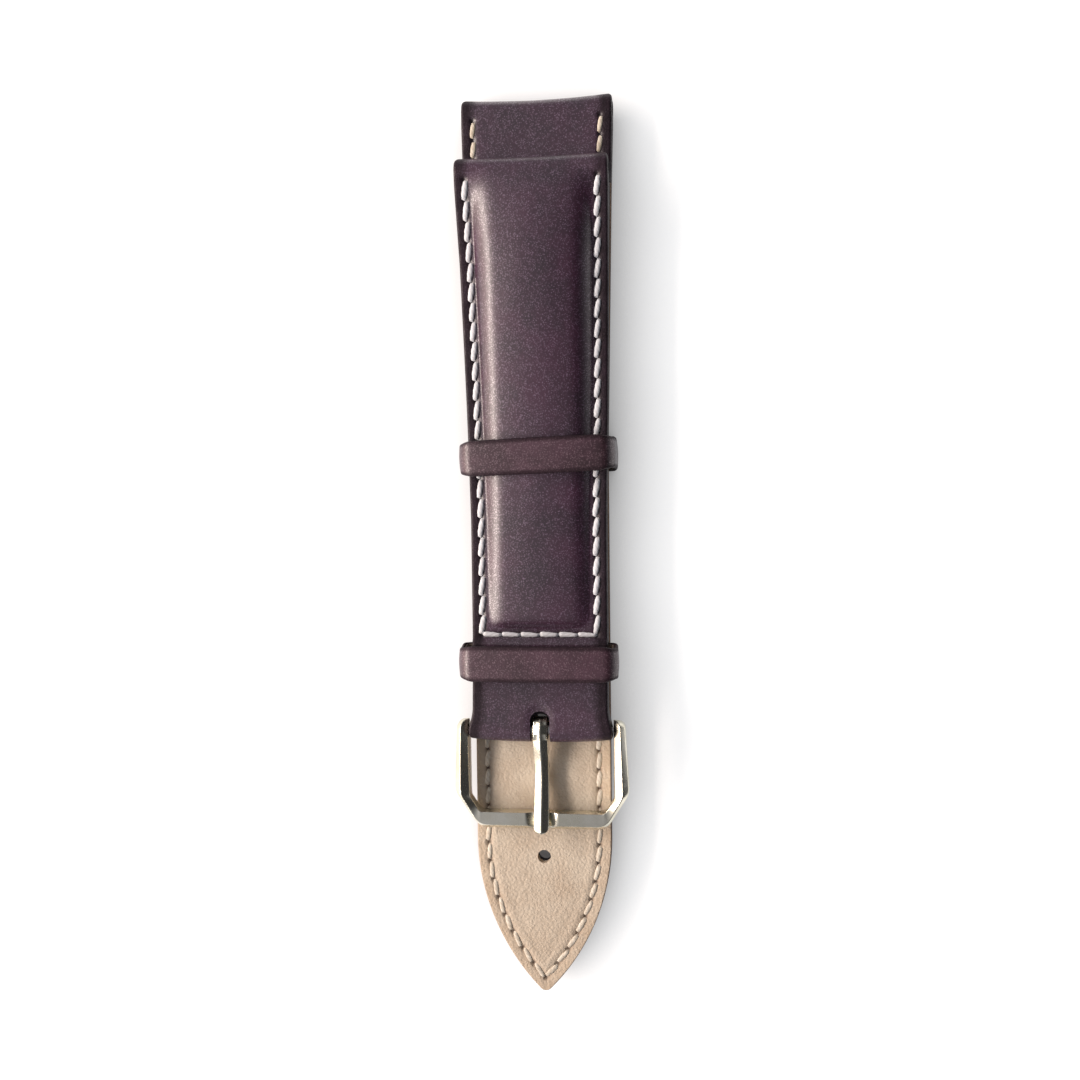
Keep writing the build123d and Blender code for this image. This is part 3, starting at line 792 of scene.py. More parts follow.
def threadMaterial(name, look):
    material, tree, shader, place = startMaterial(name)
    fibre = placeGroup(tree, threadFibre, place, Fineness=look["fineness"])
    # darker in the grooves between the plies: painted shade
    groove = mathNode(tree, "MULTIPLY", markOf(tree, "plyGroove"), look["plyShadeTone"])
    tone = rangeNode(tree, fibre.outputs["Tone"], 0.3, 0.7, 0.0, 1.0)
    colour = mixColours(tree, tone, look["dark"], look["light"])
    colour = mixColours(tree, groove, colour, look["plyShadeColour"])
    tree.links.new(colour, shader.inputs["Base Color"])
    rough = rangeNode(tree, fibre.outputs["Height"], 0.3, 0.7, 0.42, 0.7)
    tree.links.new(rough, shader.inputs["Roughness"])
    bump = addNode(tree, "ShaderNodeBump", Strength=0.6, Distance=0.03 * mm)
    tree.links.new(fibre.outputs["Height"], bump.inputs["Height"])
    tree.links.new(bump.outputs[0], shader.inputs["Normal"])
    shader.inputs["Sheen Weight"].default_value = 0.35
    shader.inputs["Sheen Roughness"].default_value = 0.4
    return material


faceThread = threadMaterial("whiteFaceThread", {
    "fineness": 12000.0,
    "dark": (0.68, 0.69, 0.73, 1),
    "light": (0.83, 0.84, 0.87, 1),
    "plyShadeTone": 0.35,
    "plyShadeColour": (0.45, 0.42, 0.42, 1),
})
backThread = threadMaterial("beigeBackThread", {
    "fineness": 12000.0,
    "dark": (0.6, 0.53, 0.42, 1),
    "light": (0.8, 0.74, 0.63, 1),
    "plyShadeTone": 0.5,
    "plyShadeColour": (0.3, 0.2, 0.12, 1),
})


def steelMaterial(name, look):
    material, tree, shader, place = startMaterial(name)
    scratch = placeGroup(tree, metalScratches, place, Fineness=look["fineness"], Stretch=look["stretch"])
    smudge = rangeNode(tree, scratch.outputs["Smudge"], 0.35, 0.7, 0.0, 1.0)
    tree.links.new(mixColours(tree, smudge, look["light"], look["dark"]), shader.inputs["Base Color"])
    rough = rangeNode(tree, scratch.outputs["Smudge"], 0.3, 0.75, look["roughLow"], look["roughHigh"])
    tree.links.new(rough, shader.inputs["Roughness"])
    bump = addNode(tree, "ShaderNodeBump", Strength=look["bump"], Distance=0.01 * mm)
    tree.links.new(scratch.outputs["Height"], bump.inputs["Height"])
    tree.links.new(bump.outputs[0], shader.inputs["Normal"])
    shader.inputs["Metallic"].default_value = 1.0
    return material


polishedSteel = steelMaterial("polishedSteel", {
    "fineness": 1400.0,
    "stretch": (1.0, 0.05, 1.0),
    "light": (0.79, 0.76, 0.65, 1),
    "dark": (0.61, 0.585, 0.475, 1),
    "roughLow": 0.2,
    "roughHigh": 0.32,
    "bump": 0.03,
})
turnedSteel = steelMaterial("turnedSteel", {
    "fineness": 2600.0,
    "stretch": (6.0, 0.2, 0.2),
    "light": (0.62, 0.61, 0.6, 1),
    "dark": (0.45, 0.44, 0.43, 1),
    "roughLow": 0.2,
    "roughHigh": 0.34,
    "bump": 0.25,
})
print("materials made")


# Leather that goes round the lug tunnel
edgeInsets = np.array([
    0, 0.03, 0.09, 0.17, 0.26, 0.36, 0.5, 0.66, 0.82, 0.98, 1.1, 1.2, 1.3, 1.4, 1.5, 1.6, 1.7, 1.82,
    1.95, 2.08, 2.22, 2.4, 2.65, 3.0,
])
middleShares = np.linspace(1, 0, 15)[1:]
wallShares = np.array([0.0, 0.08, 0.3, 0.55, 0.8])
tipFine = {"long": 0.9, "stations": 19, "short": 0.002}
upperSurface = {
    "endStep": 0.12,
    "endDrop": 0.12,
    "endReach": 0.08,
    "grooveWide": 0.42,
    "grooveDeep": 0.09,
    "pitDeep": 0.16,
    "waveDeep": 0.02,
    "waveLong": 5.0,
    "waveFrom": 1.5,  # the waves grow from the edge to here
    "wallBulge": 0.03,
    "bowFrom": 1.5,  # before the fold's end
    "ledge": 0.3,  # the width on which the walls stand
    "cutWide": 0.16,
    "inside": 5.0,  # edgeAway where no edge is near
}


def acrossPlaces(wide):
    # x from the edge to the middle for each half width, and the same mirrored
    squeeze = np.minimum(1, wide / 4.0)[:, None]
    edge = wide[:, None] - edgeInsets[None, :] * squeeze
    inner = (wide[:, None] - edgeInsets[-1] * squeeze) * middleShares[None, :]
    right = np.concatenate([edge, inner], axis=1)
    return np.concatenate([-right, right[:, -2::-1]], axis=1)


def sampled(pieces):
    # each piece of a side view: the outer run and the inner run with as many steps
    outer, inner, top = [], [], []
    for steps, outerRun, innerRun, isTop in pieces:
        t = np.linspace(0, 1, steps + 1)
        keep = slice(0, None) if not outer else slice(1, None)
        outer.append(np.array([outerRun(v) for v in t])[keep])
        inner.append(np.array([innerRun(v) for v in t])[keep])
        top.append(np.full(len(t), isTop)[keep])
    return np.vstack(outer), np.vstack(inner), np.concatenate(top)


def line(start, end):
    return lambda t: (start[0] + (end[0] - start[0]) * t, start[1] + (end[1] - start[1]) * t)


def arc(centre, radius, first, last):
    def at(t):
        angle = radians(first + (last - first) * t)
        return centre[0] + radius * cos(angle), centre[1] + radius * sin(angle)

    return at


def chain(points):
    # a run through several points, by length
    points = np.array(points, float)
    run = runAlong(points)
    return lambda t: (np.interp(t * run[-1], run, points[:, 0]), np.interp(t * run[-1], run, points[:, 1]))


def steps(length, pitch=0.25):
    return max(2, int(round(length / pitch)))


def lugPieces():
    # side view from the turned-over end, round the tunnel, to behind the stay's start
    roll, bore, start = strap["rollRadius"], strap["tunnelRadius"], strap["stayStart"]
    under, stay = strap["liningTop"] - strap["layerGap"], strap["stayTop"] + strap["layerGap"]
    end = strap["turnedEnd"]
    endStep = end - upperSurface["endStep"]
    centre, slit = (roll, roll), 0.02  # where the two sides of the tunnel's leather meet
    knee = roll + 1.05
    topTurn = -253  # degrees round the tunnel, where the face's top begins
    return [
        (2, line((end, 0), (endStep, 0)), line((end, under), (endStep, under)), False),
        (steps(end - start), line((endStep, 0), (start, 0)), line((endStep, under), (start, under)), False),
        (4, line((start, 0), (knee, 0)), line((start, under), (roll + bore, roll - slit)), False),
        (6, line((knee, 0), (roll, 0)), arc(centre, bore, -1, -90), False),
        (19, arc(centre, roll, -90, topTurn), arc(centre, bore, -90, topTurn), False),
        (4, arc(centre, roll, topTurn, -270), arc(centre, bore, topTurn, -270), True),
        (6, line((roll, 2 * roll), (knee, rimHeight(knee))), arc(centre, bore, 90, 1), True),
        (4, line((knee, rimHeight(knee)), (start, rimHeight(start))),
         line((roll + bore, roll + slit), (start, stay)), True),
    ]


def rimPieces(end):
    # side view of the rim: its slope from the lug, then its even height up to the end
    start, rim, stay = strap["stayStart"], strap["rimHeight"], strap["stayTop"] + strap["layerGap"]
    slopeEnd = strap["rollRadius"] + strap["rimSlope"]
    return [
        (steps(slopeEnd - start), line((start, rimHeight(start)), (slopeEnd, rim)),
         line((start, stay), (slopeEnd, stay)), True),
        (steps(end - slopeEnd), line((slopeEnd, rim), (end, rim)), line((slopeEnd, stay), (end, stay)), True),
    ]


def wallFoot(half, inner):
    # the height on which the side walls stand; behind the short half's cross seam they go on round the bar
    low = np.full(len(inner), strap["liningTop"] + strap["layerGap"])
    if "crossSeam" in half:
        low = np.where(inner[:, 0] < half["crossSeam"] + 0.4, low, inner[:, 1])
    return low


def upperMesh(half, pieces, outerHeight):
    outer, inner, top = sampled(pieces)
    count, look = len(outer), upperSurface
    run = runAlong(outer)
    ahead = np.gradient(outer, axis=0)
    ahead /= np.hypot(*ahead.T)[:, None]
    normal = np.column_stack([-ahead[:, 1], ahead[:, 0]])  # out of the leather, going round clockwise
    wide = halfWidth(half, np.clip(outer[:, 0], 0, None))
    x = acrossPlaces(wide)
    s = np.repeat(outer[:, :1], x.shape[1], axis=1)
    away = edgeDistance(half, x, s)
    radius = strap["edgeRound"]
    inside = np.clip(radius - away, 0, radius)
    drop = radius - np.sqrt(radius**2 - inside**2)
    endAway = run if "pointStart" in half else np.minimum(run, run[-1] - run)
    endDrop = look["endDrop"] * np.exp(-endAway / look["endReach"])[:, None]
    seamAway, pit = seamPress(half, x, s)
    flat = (np.abs(normal[:, 1]) > 0.9)[:, None]  # not where the leather goes round a bar
    groove = np.exp(-((seamAway / look["grooveWide"]) ** 2)) * flat
    pit = pit * flat
    shift = -drop - endDrop - look["grooveDeep"] * groove - look["pitDeep"] * pit
    wave = look["waveDeep"] * waves(half["seed"], x, run[:, None], look["waveLong"])
    shift = shift + wave * smoothStep(0, look["waveFrom"], away)
    lift = np.where(top[:, None], outerHeight(x, s) - outer[:, 1:2], 0.0)
    outS = s + normal[:, :1] * shift
    if "foldBow" in half:  # the fold draws in towards its corners
        drawn = smoothStep(half["foldEnd"] - look["bowFrom"], half["foldEnd"] + half["foldRoll"], outS)
        outS = outS - half["foldBow"] * drawn * (np.abs(x) / half["foldHalf"]) ** 3
    outH = outer[:, 1:2] + lift + normal[:, 1:] * shift
    # walls: from the inner edge up to the face's rounded edge
    wideIn = halfWidth(half, np.clip(inner[:, 0], 0, None))
    wallBase = inner.copy()
    overStay = top & (inner[:, 0] > strap["stayStart"] - strap["layerGap"])
    wallBase[:, 1] = np.where(overStay, wallFoot(half, inner), inner[:, 1])
    t = wallShares[None, :]

    def wall(sign, column):
        px = sign * (wideIn[:, None] * (1 - t) + wide[:, None] * t + look["wallBulge"] * np.sin(pi * t))
        ps = wallBase[:, :1] * (1 - t) + outS[:, column][:, None] * t
        ph = wallBase[:, 1:] * (1 - t) + outH[:, column][:, None] * t
        return np.stack([px, ps, ph], axis=2)

    left, right = wall(-1, 0), wall(1, -1)[:, ::-1]
    face = np.stack([x, outS, outH], axis=2)
    # the hidden inner side, right to left
    innerX = acrossPlaces(wideIn)[:, 4:-4][:, ::-1]
    innerS = np.repeat(inner[:, :1], innerX.shape[1], axis=1)
    innerH = np.repeat(inner[:, 1:], innerX.shape[1], axis=1)
    pad = paddingHeight(half, innerX, innerS) + paddingShape["leatherGap"]
    padded = top[:, None] & (innerS > paddingShape["start"])
    padded = padded & (innerS < half["paddingEnd"] - strap["faceLeather"])
    padded = padded & (np.abs(innerX) < paddingReach(half, innerS))
    innerH = np.where(padded, np.maximum(pad, innerH), innerH)
    ledgeX = wideIn[:, None] - look["ledge"]
    ledgeR = np.stack([ledgeX, inner[:, :1], wallBase[:, 1:]], axis=2)
    ledgeL = np.stack([-ledgeX, inner[:, :1], wallBase[:, 1:]], axis=2)
    under = np.stack([innerX, innerS, innerH], axis=2)
    rings = np.concatenate([left, face, right, ledgeR, under, ledgeL], axis=1)

    def full(values, wallValue, underValue):
        wallPart = np.full((count, len(wallShares)), wallValue)
        underPart = np.full((count, under.shape[1] + 2), underValue)
        return np.concatenate([wallPart, values, wallPart, underPart], axis=1)

    marks = {
        "edgeAway": full(away, 0.0, look["inside"]),
        "cutEdge": full(smoothStep(look["cutWide"], 0.02, away), 1.0, 1.0),
        "needlePit": full(pit, 0.0, 0.0),
        "seamPress": full(groove, 0.0, 0.0),
    }
    return rings.reshape(-1, 3), ringFaces(count, rings.shape[1]), marks


lugEndShape = {"bowHalf": 10, "bowReach": 7, "leanReach": 38}


def lugBow(half, points):
    # the lug's end stands out in the middle
    across = np.clip(1 - (points[:, 0] / lugEndShape["bowHalf"]) ** 2, 0, 1)
    return half["lugBow"] * across * smoothStep(lugEndShape["bowReach"], 0, points[:, 1])


def faceUp(points):
    out = points.copy()
    out[:, 0] -= shortHalf["lugLean"] * smoothStep(lugEndShape["leanReach"], 0, points[:, 1])
    out[:, 1] = shortHalf["lugEnd"] - points[:, 1] - lugBow(shortHalf, points)
    out[:, 2] = shortHalf["plane"] + points[:, 2]
    return out


def faceDown(points):
    out = points.copy()
    out[:, 0] = -points[:, 0]
    out[:, 1] = longHalf["lugEnd"] - points[:, 1] - lugBow(longHalf, points)
    out[:, 2] = longHalf["plane"] - points[:, 2]
    return out


# Short half: upper
def foldPieces():
    # side view on from the lug: rim, ramp, over the keeper's band, round the buckle's bar and back below
    f = shortHalf
    play, rim, stay = f["bandPlay"], strap["rimHeight"], strap["stayTop"] + strap["layerGap"]
    over, under = f["bandTop"] + play, strap["liningTop"] - play
    bandStart, bandEnd = f["bandStart"], f["bandEnd"]
    slotStart, slotEnd = bandStart - play, bandEnd + f["bandSlack"]
    rampStart, lap = bandStart - f["rampLong"], bandStart - f["lapStart"]
    bar = (f["foldEnd"], f["foldRoll"])
    back, crease = bar[0] - f["barSpace"], bandEnd + f["creaseLong"]
    creaseLow, creaseHigh = f["creaseHeights"]
    end = f["crossSeam"] + strap["layerGap"]
    rise = 2 * f["foldRoll"] - f["foldTop"]

    def topAt(s):
        return f["foldTop"] + rise * (s - bandEnd) / (f["foldEnd"] - bandEnd)

    rampInside = [(rampStart, stay), (bandStart - f["rampFoot"], stay + play), (slotStart, over)]
    return lugPieces() + rimPieces(rampStart) + [
        (6, line((rampStart, rim), (bandStart, f["foldTop"])), chain(rampInside), True),
        (18, line((bandStart, f["foldTop"]), (bandEnd, f["foldTop"])),
         line((bandStart, over), (slotEnd, over)), True),
        (4, line((bandEnd, f["foldTop"]), (crease, topAt(crease))),
         line((slotEnd, over), (crease, creaseHigh)), True),
        (22, line((crease, topAt(crease)), (back, topAt(back))),
         line((crease, creaseHigh), (back, bar[1] + play)), True),
        (6, line((back, topAt(back)), (bar[0], 2 * bar[1])), arc(bar, f["barSpace"], 179, 90), True),
        (26, arc(bar, f["foldRoll"], 90, -90), arc(bar, f["barSpace"], 90, -90), False),
        (6, line((bar[0], 0), (back, 0)), arc(bar, f["barSpace"], -90, -179), False),
        (22, line((back, 0), (crease, 0)), line((back, bar[1] - play), (crease, creaseLow)), False),
        (4, line((crease, 0), (bandEnd, 0)), line((crease, creaseLow), (slotEnd, under)), False),
        (18, line((bandEnd, 0), (bandStart, 0)), line((slotEnd, under), (slotStart, under)), False),
        (2, line((bandStart, 0), (lap, 0)), line((slotStart, under), (lap, f["lapHeight"])), False),
        (4, line((lap, 0), (end, 0)), line((lap, f["lapHeight"]), (end, f["lapHeight"])), False),
    ]


def crownOver(half, x, s, base):
    # the crown grown out of the base, where there is padding under it
    crown = crownHeight(half, x, s)
    crown = np.where((s > strap["crownStart"]) & (s < half["paddingEnd"]), crown, 0)
    return softMax(crown, base, crownBlend(s))


def shortTop(x, s):
    f = shortHalf
    rampStart = f["bandStart"] - f["rampLong"]
    places = [rampStart, f["bandStart"], f["bandEnd"], f["foldEnd"]]
    heights = [strap["rimHeight"], f["foldTop"], f["foldTop"], 2 * f["foldRoll"]]
    base = np.where(s < rampStart, rimHeight(s), np.interp(s, places, heights))
    lip = tongueSlot["lipDrop"] * np.exp(-slotDistance(x, s) / tongueSlot["lipReach"])
    return crownOver(f, x, s, base) - lip


tongueSlot = {
    "half": 1.3,
    "length": 3.3,
    "ramp": 1.0,
    "rampTop": 0.3,
    "lipDrop": 0.14,
    "lipReach": 0.16,
    "cutAbove": 2.4,
    "cutFrom": 2.0,
    "belowLonger": 1.2,
    "overlap": 0.02,
    "outTo": -30.0,
}


def slotDistance(x, s):
    # from the edge of the tongue's slot, outside it
    end = shortHalf["foldEnd"] - tongueSlot["length"] + tongueSlot["half"]
    away = np.hypot(x, np.minimum(s - end, 0)) - tongueSlot["half"]
    return np.clip(away, 0, None)


points, faces, marks = upperMesh(shortHalf, foldPieces(), shortTop)
shortUpper = meshObject(
    "shortUpper", faceUp(points), faces, "short_strap", faceLeather, marks
)
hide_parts("short_upper")
slotStart = shortHalf["lugEnd"] - shortHalf["foldEnd"] + tongueSlot["length"] - tongueSlot["half"]


def slotOutline(start):
    # round towards the lug end and open past the bar
    half, angles = tongueSlot["half"], np.linspace(0, pi, 25)
    outline = [(half * cos(a), start + half * sin(a)) for a in angles]
    return outline + [(-half, tongueSlot["outTo"]), (half, tongueSlot["outTo"])]


# its far end slopes down to the bar, as leather that the tongue has pressed in
cutWith(shortUpper, punch(
    "slotPunch", [slotOutline(slotStart - tongueSlot["ramp"])], barAxis[2],
    barAxis[2] + tongueSlot["cutAbove"], faceLeather, [slotOutline(slotStart - tongueSlot["rampTop"])],
))
cutWith(shortUpper, punch(
    "slotPunchBelow", [slotOutline(slotStart - tongueSlot["belowLonger"])], tongueSlot["cutFrom"],
    barAxis[2] + tongueSlot["overlap"], faceLeather,
))
print("short upper", len(shortUpper.data.vertices))


# Long half: upper
tailHole = {"lipDrop": 0.1, "lipReach": 0.13, "sides": 40, "cutFrom": -1.0, "cutTo": 7.0}
tailHole["places"] = [
    longHalf["length"] - longHalf["holeFirst"] - longHalf["holePitch"] * k
    for k in range(longHalf["holeCount"])
]


def tipStations(end):
    # close together towards the pointed tip
    tail = end - tipFine["long"] * (1 - np.linspace(0, 1, tipFine["stations"])) ** 2
    tail[-1] = end - tipFine["short"]
    return tail


def longPieces():
    # side view from the lug: rim, then ever shorter pieces up to the tip
    stay, rim = strap["stayTop"] + strap["layerGap"], strap["rimHeight"]
    tail = tipStations(longHalf["length"])
    return lugPieces() + rimPieces(longHalf["length"] - tipFine["long"]) + [
        (1, line((a, rim), (b, rim)), line((a, stay), (b, stay)), True) for a, b in zip(tail, tail[1:])
    ]


def holeAway(x, s):
    away = np.full(x.shape, farAway)
    for place in tailHole["places"]:
        away = np.minimum(away, np.abs(np.hypot(x, s - place) - longHalf["holeRadius"]))
    return away


def longTop(x, s):
    lip = tailHole["lipDrop"] * np.exp(-holeAway(x, s) / tailHole["lipReach"])
    return crownOver(longHalf, x, s, rimHeight(s)) - lip


def holePunch(name, material):
    # one cutter for the whole row
    radius, sides = longHalf["holeRadius"], tailHole["sides"]
    angles = [2 * pi * k / sides for k in range(sides)]
    outlines = [
        [(radius * cos(a), longHalf["lugEnd"] - place + radius * sin(a)) for a in angles]
        for place in tailHole["places"]
    ]
    return punch(name, outlines, tailHole["cutFrom"], tailHole["cutTo"], material)


points, faces, marks = upperMesh(longHalf, longPieces(), longTop)
longUpper = meshObject(
    "longUpper", faceDown(points), faces, "long_strap", faceLeather, marks
)
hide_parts("long_upper")
cutWith(longUpper, holePunch("upperPunch", faceLeather))
print("long upper", len(longUpper.data.vertices))


# Flat layers: lining and stay
layerShape = {
    "endSteps": (0.04, 0.12),
    "endDrop": 0.1,
    "endReach": 0.06,
    "grooveWide": 0.4,
    "grooveDeep": 0.1,
    "pitDeep": 0.2,
    "puffOver": 3.2,
    "puffEnd": 3.0,
    "beadShare": 0.7,
    "beadAt": 1.0,
    "beadWide": 0.5,
    "waveDeep": 0.018,
    "waveLong": 4.0,
    "wallBulge": 0.02,
    "cutWide": 0.1,
    "inside": 5.0,
}


def stationsAlong(half, start, end, pitch=0.25):
    near, far = layerShape["endSteps"]
    if "length" in half and end >= half["length"]:
        tip = tipFine["long"]
        body = np.linspace(start + far, end - tip, steps(end - start - tip, pitch))
        return np.concatenate([[start, start + near], body, tipStations(end)[1:]])
    body = np.linspace(start + far, end - far, steps(end - start, pitch))
    return np.concatenate([[start, start + near], body, [end - near, end]])


def layerMesh(half, start, end, low, high, bulge=0.0, inset=0.0, soft=0.14, seams=True, pitch=0.25):
    look = layerShape
    s = stationsAlong(half, start, end, pitch)
    wide = np.clip(halfWidth(half, s) - inset, 0.02, None)
    x = acrossPlaces(wide)
    place = np.repeat(s[:, None], x.shape[1], axis=1)
    away = np.clip(edgeDistance(half, x, place) - inset, 0, None)
    inside = np.clip(soft - away, 0, soft)
    drop = soft - np.sqrt(soft**2 - inside**2)
    ends = np.minimum(s - start, farAway if "pointStart" in half else end - s)[:, None]
    drop = np.maximum(drop, look["endDrop"] * np.exp(-ends / look["endReach"]))
    seamAway, pit = np.full(x.shape, farAway), np.zeros(x.shape)
    if seams:
        seamAway, pit = seamPress(half, x, place)
    groove = np.exp(-((seamAway / look["grooveWide"]) ** 2))
    inward = away - half["seamInset"]
    puff = bulge * smoothStep(0, look["puffOver"], inward) * smoothStep(0, look["puffEnd"], ends)
    bead = bulge * look["beadShare"] * np.exp(-(((inward - look["beadAt"]) / look["beadWide"]) ** 2))
    wave = look["waveDeep"] * waves(half["seed"] + 5, x, place, look["waveLong"]) * smoothStep(0, 1.0, away)
    out = puff + bead + wave * (bulge > 0) - drop - look["grooveDeep"] * groove - look["pitDeep"] * pit
    face = np.stack([x, place, low - out], axis=2)
    wallT = np.array([0.25, 0.55, 0.85])[None, :]
    edgeLow = face[:, -1, 2][:, None]
    wallX = wide[:, None] + look["wallBulge"] * np.sin(pi * wallT)
    right = np.stack([wallX, np.repeat(s[:, None], 3, axis=1), edgeLow + (high - edgeLow) * wallT], axis=2)
    left = right[:, ::-1] * np.array([-1, 1, 1])
    back = np.stack([x[:, ::-1], place[:, ::-1], np.full(x.shape, high)], axis=2)
    rings = np.concatenate([face, right, back, left], axis=1)

    def full(values, wallValue, backValue):
        wallPart = np.full((len(s), 3), wallValue)
        return np.concatenate([values, wallPart, np.full(x.shape, backValue), wallPart], axis=1)

    marks = {
        "edgeAway": full(away, 0.0, look["inside"]),
        "cutEdge": full(smoothStep(look["cutWide"], 0.0, away), 1.0, 0.0),
        "needlePit": full(pit, 0.0, 0.0),
        "seamPress": full(groove, 0.0, 0.0),
    }
    return rings.reshape(-1, 3), ringFaces(len(s), rings.shape[1]), marks


def makeLayer(name, half, turn, body, slotName, material, replaced, *sizes, **more):
    points, faces, marks = layerMesh(half, *sizes, **more)
    thing = meshObject(name, turn(points), faces, body, material, marks)
    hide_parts(replaced)
    return thing


liningShape = {
    "start": strap["turnedEnd"] + 0.02,
    "shortEnd": shortHalf["crossSeam"] - 0.01,
    "low": 0.0,
    "high": strap["liningTop"],
}
stayShape = {
    "start": strap["stayStart"] + 0.1,
    "shortEnd": shortHalf["crossSeam"] - 0.05,
    "longEnd": longHalf["length"] - 0.4,
    "low": strap["liningTop"] + 0.005,
    "high": strap["stayTop"] - 0.005,
    "edges": {"inset": 0.35, "soft": 0.05, "seams": False, "pitch": 1.0},
}
makeLayer(
    "shortLining", shortHalf, faceUp, "short_strap", "lining_leather", dyedShadedLining, "short_lining",
    liningShape["start"], liningShape["shortEnd"], liningShape["low"], liningShape["high"],
    bulge=shortHalf["liningBulge"],
)
longLining = makeLayer(
    "longLining", longHalf, faceDown, "long_strap", "lining_leather", liningLeather, "long_lining",
    liningShape["start"], longHalf["length"], liningShape["low"], liningShape["high"],
    bulge=longHalf["liningBulge"],
)
cutWith(longLining, holePunch("liningPunch", liningLeather))
makeLayer(
    "shortStay", shortHalf, faceUp, "short_strap", "stay", stayCloth, "short_stay",
    stayShape["start"], stayShape["shortEnd"], stayShape["low"], stayShape["high"], **stayShape["edges"],
)
longStay = makeLayer(
    "longStay", longHalf, faceDown, "long_strap", "stay", stayCloth, "long_stay",
    stayShape["start"], stayShape["longEnd"], stayShape["low"], stayShape["high"], **stayShape["edges"],
)
cutWith(longStay, holePunch("stayPunch", stayCloth))
print("linings and stays made")


# Padding: a crowned filler under each upper
def paddingMesh(half):
    look, gap, stayTop = paddingShape, paddingShape["leatherGap"], strap["stayTop"]
    start, end = look["start"] + look["shrink"], half["paddingEnd"] - strap["faceLeather"] - gap
    rise, fall = start + 3, end - 3.5  # between them the stations can be further apart
    s = np.concatenate([
        np.linspace(start, rise, 14),
        np.linspace(rise, fall, steps(end - start, 1.0))[1:],
        np.linspace(fall, end, 16)[1:],
    ])
    shares = np.sin(np.linspace(-pi / 2, pi / 2, 41))
    x = (paddingReach(half, s) - gap)[:, None] * shares[None, :]
    place = np.repeat(s[:, None], len(shares), axis=1)
    wave = look["waveDeep"] * waves(half["seed"] + 9, x, place, look["waveLong"])
    height = paddingHeight(half, x, place) + wave - gap
    face = np.stack([x, place, np.maximum(height, stayTop + look["shrink"])], axis=2)
    back = np.stack([x[:, ::-1], place, np.full(x.shape, stayTop + 0.005)], axis=2)
    rings = np.concatenate([face, back], axis=1)
    marks = {"edgeAway": np.full(rings.shape[:2], 2.0)}
    return rings.reshape(-1, 3), ringFaces(len(s), rings.shape[1]), marks


for name, half, turn, body, replaced in (
    ("shortPadding", shortHalf, faceUp, "short_strap", "short_padding"),
    ("longPadding", longHalf, faceDown, "long_strap", "long_padding"),
):
    points, faces, marks = paddingMesh(half)
    pad = meshObject(name, turn(points), faces, body, paddingFelt, marks)
    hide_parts(replaced)
print("paddings made")


# Threads
threadShape = {
    "rings": 17,
    "around": 12,
    "plies": 3,
    "turns": 1.1,
    "plyDeep": 0.13,
    "plySharp": 6,
    "entry": 0.15,
    "endGirth": 0.45,
    "girthPower": 0.7,
    "wander": 0.4,
}


def stitchRings(first, last, lift, sink, width, height, slant, phase, side, skew):
    # one stitch from hole to hole: the points of its rings as (x, s, h) with h out of the surface
    look, count, around = threadShape, threadShape["rings"], threadShape["around"]
    t = np.linspace(0, 1, count)
    run = last - first
    length = np.hypot(*run)
    ahead = run / length
    aside = np.array([-ahead[1], ahead[0]])
    swell = np.clip(np.sin(pi * np.clip(t, 0.02, 0.98) ** skew), 0, 1)
    rise = -sink + (lift + sink) * smoothStep(0, look["entry"], t) * smoothStep(1, 1 - look["entry"], t)
    girth = look["endGirth"] + (1 - look["endGirth"]) * swell ** look["girthPower"]
    centre = first[None, :] + run[None, :] * t[:, None]
    lean = slant * (t - 0.5) * side
    centre = centre + aside[None, :] * lean[:, None]
    angle = np.linspace(0, 2 * pi, around, endpoint=False)
    twist = angle[None, :] - look["turns"] * 2 * pi * t[:, None] * side
    ply = 1 - look["plyDeep"] * np.abs(np.sin(look["plies"] / 2 * twist + phase)) ** look["plySharp"]
    across = width / 2 * girth[:, None] * ply * np.cos(angle)[None, :]
    up = height / 2 * girth[:, None] * ply * np.sin(angle)[None, :]
    ringsXs = centre[:, None, :] + aside[None, None, :] * across[:, :, None]
    h = rise[:, None] + up
    return np.concatenate([ringsXs, h[:, :, None]], axis=2), (1 - ply) / look["plyDeep"]


def threadMesh(half, look, surface, side):
    allPoints, allFaces, grooves = [], [], []
    random = np.random.default_rng(look["seed"])
    for row, holes in enumerate(seamHoles(half)):
        isCross = "crossSeam" in half and row == 1
        slant = look["crossSlant"] if isCross else look["slant"]
        size = look["crossSize"] if isCross else 1.0
        skew = look["crossSkew"] if isCross else 1.0
        for first, last in zip(holes, holes[1:]):
            jitter = random.normal(0, look["jitter"], 4)
            a, b = first + jitter[:2] * threadShape["wander"], last + jitter[2:] * threadShape["wander"]
            width, height = look["width"] * size * (1 + jitter[0]), look["height"] * size
            rings, groove = stitchRings(
                a + (b - a) * look["startShort"], b - (b - a) * look["endShort"], look["lift"], look["sink"],
                width, height, slant, random.uniform(0, 6), side, skew,
            )
            rings[:, :, 2] = surface(rings[:, :, 0], rings[:, :, 1]) + side * rings[:, :, 2]
            start = sum(len(p) for p in allPoints)
            allPoints.append(rings.reshape(-1, 3))
            grooves.append(groove.ravel())
            for face in ringFaces(len(rings), threadShape["around"]):
                allFaces.append([start + index for index in face])
    return np.vstack(allPoints), allFaces, {"plyGroove": np.concatenate(grooves)}


